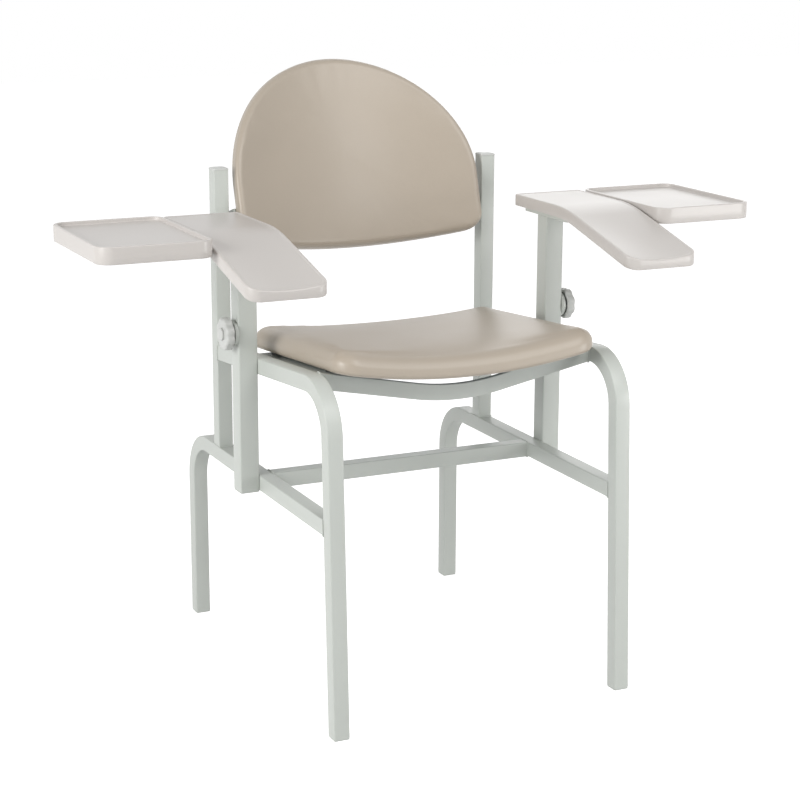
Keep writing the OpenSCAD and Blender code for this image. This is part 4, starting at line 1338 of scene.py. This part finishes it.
def screw_on(part, way, head_size, head_tall, shank):
    """Screw in the place of one solid, pointing along way."""
    heights = [p.dot(way) for p in part]
    low, high = min(heights), max(heights)
    rim = [p for p, h in zip(part, heights) if h < low + 0.2 * MM]
    side = way.orthogonal().normalized()
    spot = way * low
    for axis in (side, way.cross(side)):
        reach = [p.dot(axis) for p in rim]
        spot = spot + axis * (min(reach) + max(reach)) / 2
    return screw_mesh(spot, way, high - low, head_size, head_tall, shank)


class CHAIR_OT_screws(bpy.types.Operator):
    """Makes every screw with a domed socket head"""

    bl_idname = "chair.screws"
    bl_label = "Screws"

    def execute(self, context):
        sizes, _, back, *_ = settings()
        seat_up = Matrix.Rotation(-sizes.rail_fall, 3, "X") @ UP
        lean = Matrix.Rotation(-back.lean, 3, "X")
        bracket_x = back.width / 2 - 18 * MM
        turn = math.atan(8 * back.wrap * bracket_x / back.width**2)  # the board's slant at the brackets
        large, small = (10 * MM, 3 * MM, 5 * MM), (8 * MM, 1.8 * MM, 4 * MM)

        def into_back(p):
            return lean @ Vector((-math.sin(turn) * math.copysign(1, p.x), -math.cos(turn), 0))

        groups = [
            ("seat_screws", "frame", lambda p: seat_up, large),
            ("back_screws", "back", into_back, small),
        ]
        for name, _ in SIDES:
            groups += [(name + kind, name + "_arm", lambda p: UP, large) for kind in ("_arm_screws", "_tray_screws")]
        for node, body, aim, screw in groups:
            made = []
            for part in loose_parts(node):
                way = aim(sum(part, Vector()) / len(part)).normalized()
                made.append(screw_on(part, way, *screw))
            add_piece(join_meshes(node + "_shape", made), body, "Zinc steel", node)
        return {"FINISHED"}


FINISHES = ("Powder coat", "Vinyl", "Moulding", "Knob plastic", "Board", "Dark plastic", "Zinc steel")


class CHAIR_OT_kept_parts(bpy.types.Operator):
    """Gives the frame's own parts their finishes"""

    bl_idname = "chair.kept_parts"
    bl_label = "Frame's Own Parts"

    def execute(self, context):
        finishes = {slot_of(name): name for name in FINISHES}
        slots = node_slots()
        for node, item in frame["nodes"].items():
            item.data.materials.clear()
            item.data.materials.append(bpy.data.materials[finishes[slots[node]]])
        return {"FINISHED"}


# Studio

WORLD_LIGHT = 0.42  # the world's strength on the chair; rays that see it get 1
FLOOR_GREY, FLOOR_GLOW = 0.60, 0.80
LAMPS = (  # name, place, aim, side in metres, power in watts
    ("Left", (-2.8, -0.8, 1.4), (0, 0, 0.5), 1.5, 60),
    ("Top", (0.8, -2.3, 2.9), (0, 0, 0.5), 1.8, 42),
    ("Fill", (1.7, -1.8, 0.6), (0.3, 0, 0.3), 0.8, 16),
    ("Back", (2.1, 2.5, 1.9), (0, 0, 0.7), 1.8, 12),
)


def seen_rays(tree):
    """1 for the rays that see the background: from the camera, off gloss and through glass."""
    path = tree.nodes.new("ShaderNodeLightPath")
    seen = maths(tree, "MAXIMUM", path.outputs["Is Glossy Ray"], path.outputs["Is Transmission Ray"])
    return maths(tree, "MAXIMUM", path.outputs["Is Camera Ray"], seen)


def place_floor(scene):
    mesh = bpy.data.meshes.new("studio_floor")
    mesh.from_pydata([(-9, -7, 0), (9, -7, 0), (9, 11, 0), (-9, 11, 0)], [], [(0, 1, 2, 3)])
    floor = bpy.data.objects.new("studio_floor", mesh)
    scene.collection.objects.link(floor)
    tree, shader = new_material(
        "Floor", Base_Color=(FLOOR_GREY, FLOOR_GREY, FLOOR_GREY, 1), Roughness=0.9, Specular_IOR_Level=0.1,
        Emission_Color=(1, 1, 1, 1),
    )
    tree.links.new(maths(tree, "MULTIPLY", seen_rays(tree), FLOOR_GLOW), shader.inputs["Emission Strength"])
    mesh.materials.append(bpy.data.materials["Floor"])


def place_world(scene):
    world = bpy.data.worlds.new("Studio")
    scene.world = world
    world.use_nodes = True
    tree = world.node_tree
    background = next(n for n in tree.nodes if n.type == "BACKGROUND")
    background.inputs["Color"].default_value = (1, 1, 1, 1)
    tree.links.new(remap(tree, seen_rays(tree), 0.0, 1.0, WORLD_LIGHT, 1.0), background.inputs["Strength"])


def place_lamps(scene):
    for name, place, aim, size, power in LAMPS:
        lamp = bpy.data.lights.new(name, "AREA")
        lamp.shape = "SQUARE"
        lamp.size = size
        lamp.energy = power
        item = bpy.data.objects.new(name, lamp)
        item.location = place
        item.rotation_euler = (Vector(aim) - Vector(place)).to_track_quat("-Z", "Y").to_euler()
        scene.collection.objects.link(item)


def place_camera(scene):
    view = scene.chair_view
    camera = bpy.data.cameras.new("Camera")
    camera.lens = view.lens
    camera.sensor_width = 36.0
    level = Vector((math.sin(view.yaw), math.cos(view.yaw), 0)) * math.cos(view.pitch)
    forward = level - UP * math.sin(view.pitch)
    right = Vector((math.cos(view.yaw), -math.sin(view.yaw), 0))
    up = right.cross(forward)
    turned = math.cos(view.roll) * right + math.sin(view.roll) * up
    up = math.cos(view.roll) * up - math.sin(view.roll) * right
    item = bpy.data.objects.new("Camera", camera)
    item.matrix_world = Matrix.Translation(view.place) @ Matrix((turned, up, -forward)).transposed().to_4x4()
    scene.collection.objects.link(item)
    scene.camera = item


class CHAIR_OT_studio(bpy.types.Operator):
    """Makes the floor, the world, the lamps and the camera"""

    bl_idname = "chair.studio"
    bl_label = "Studio"

    def execute(self, context):
        scene = context.scene
        scene.view_settings.view_transform = "Standard"
        place_floor(scene)
        place_world(scene)
        place_lamps(scene)
        place_camera(scene)
        return {"FINISHED"}


STEPS = (
    CHAIR_OT_finishes, CHAIR_OT_side_frames, CHAIR_OT_uprights, CHAIR_OT_cross_members, CHAIR_OT_welds,
    CHAIR_OT_sleeves, CHAIR_OT_feet, CHAIR_OT_seat, CHAIR_OT_back, CHAIR_OT_armrests, CHAIR_OT_trays,
    CHAIR_OT_posts, CHAIR_OT_knobs, CHAIR_OT_small_parts, CHAIR_OT_screws, CHAIR_OT_kept_parts, CHAIR_OT_studio,
)


class CHAIR_PT_panel(bpy.types.Panel):
    """Lists the chair's sizes and the steps that make it"""

    bl_idname = "CHAIR_PT_panel"
    bl_label = "Phlebotomy Chair"
    bl_space_type = "VIEW_3D"
    bl_region_type = "UI"
    bl_category = "Chair"

    def draw(self, context):
        for group in settings():
            box = self.layout.box()
            for key in group.bl_rna.properties.keys():
                if key not in {"rna_type", "name"}:
                    box.prop(group, key)
        for step in STEPS:
            self.layout.operator(step.bl_idname)


GROUPS = {
    "chair_frame": FrameSizes, "chair_seat": SeatSizes, "chair_back": BackSizes,
    "chair_arms": ArmSizes, "chair_colours": ChairColours, "chair_view": ViewSizes,
}


def register():
    for kind in (*GROUPS.values(), *STEPS, CHAIR_PT_panel):
        bpy.utils.register_class(kind)
    for key, kind in GROUPS.items():
        setattr(bpy.types.Scene, key, PointerProperty(type=kind))


def unregister():
    for key in GROUPS:
        delattr(bpy.types.Scene, key)
    for kind in (CHAIR_PT_panel, *reversed(STEPS), *GROUPS.values()):
        bpy.utils.unregister_class(kind)


def main():
    register()
    for step in STEPS:
        group, name = step.bl_idname.split(".")
        getattr(getattr(bpy.ops, group), name)()


if __name__ == "__main__":
    main()
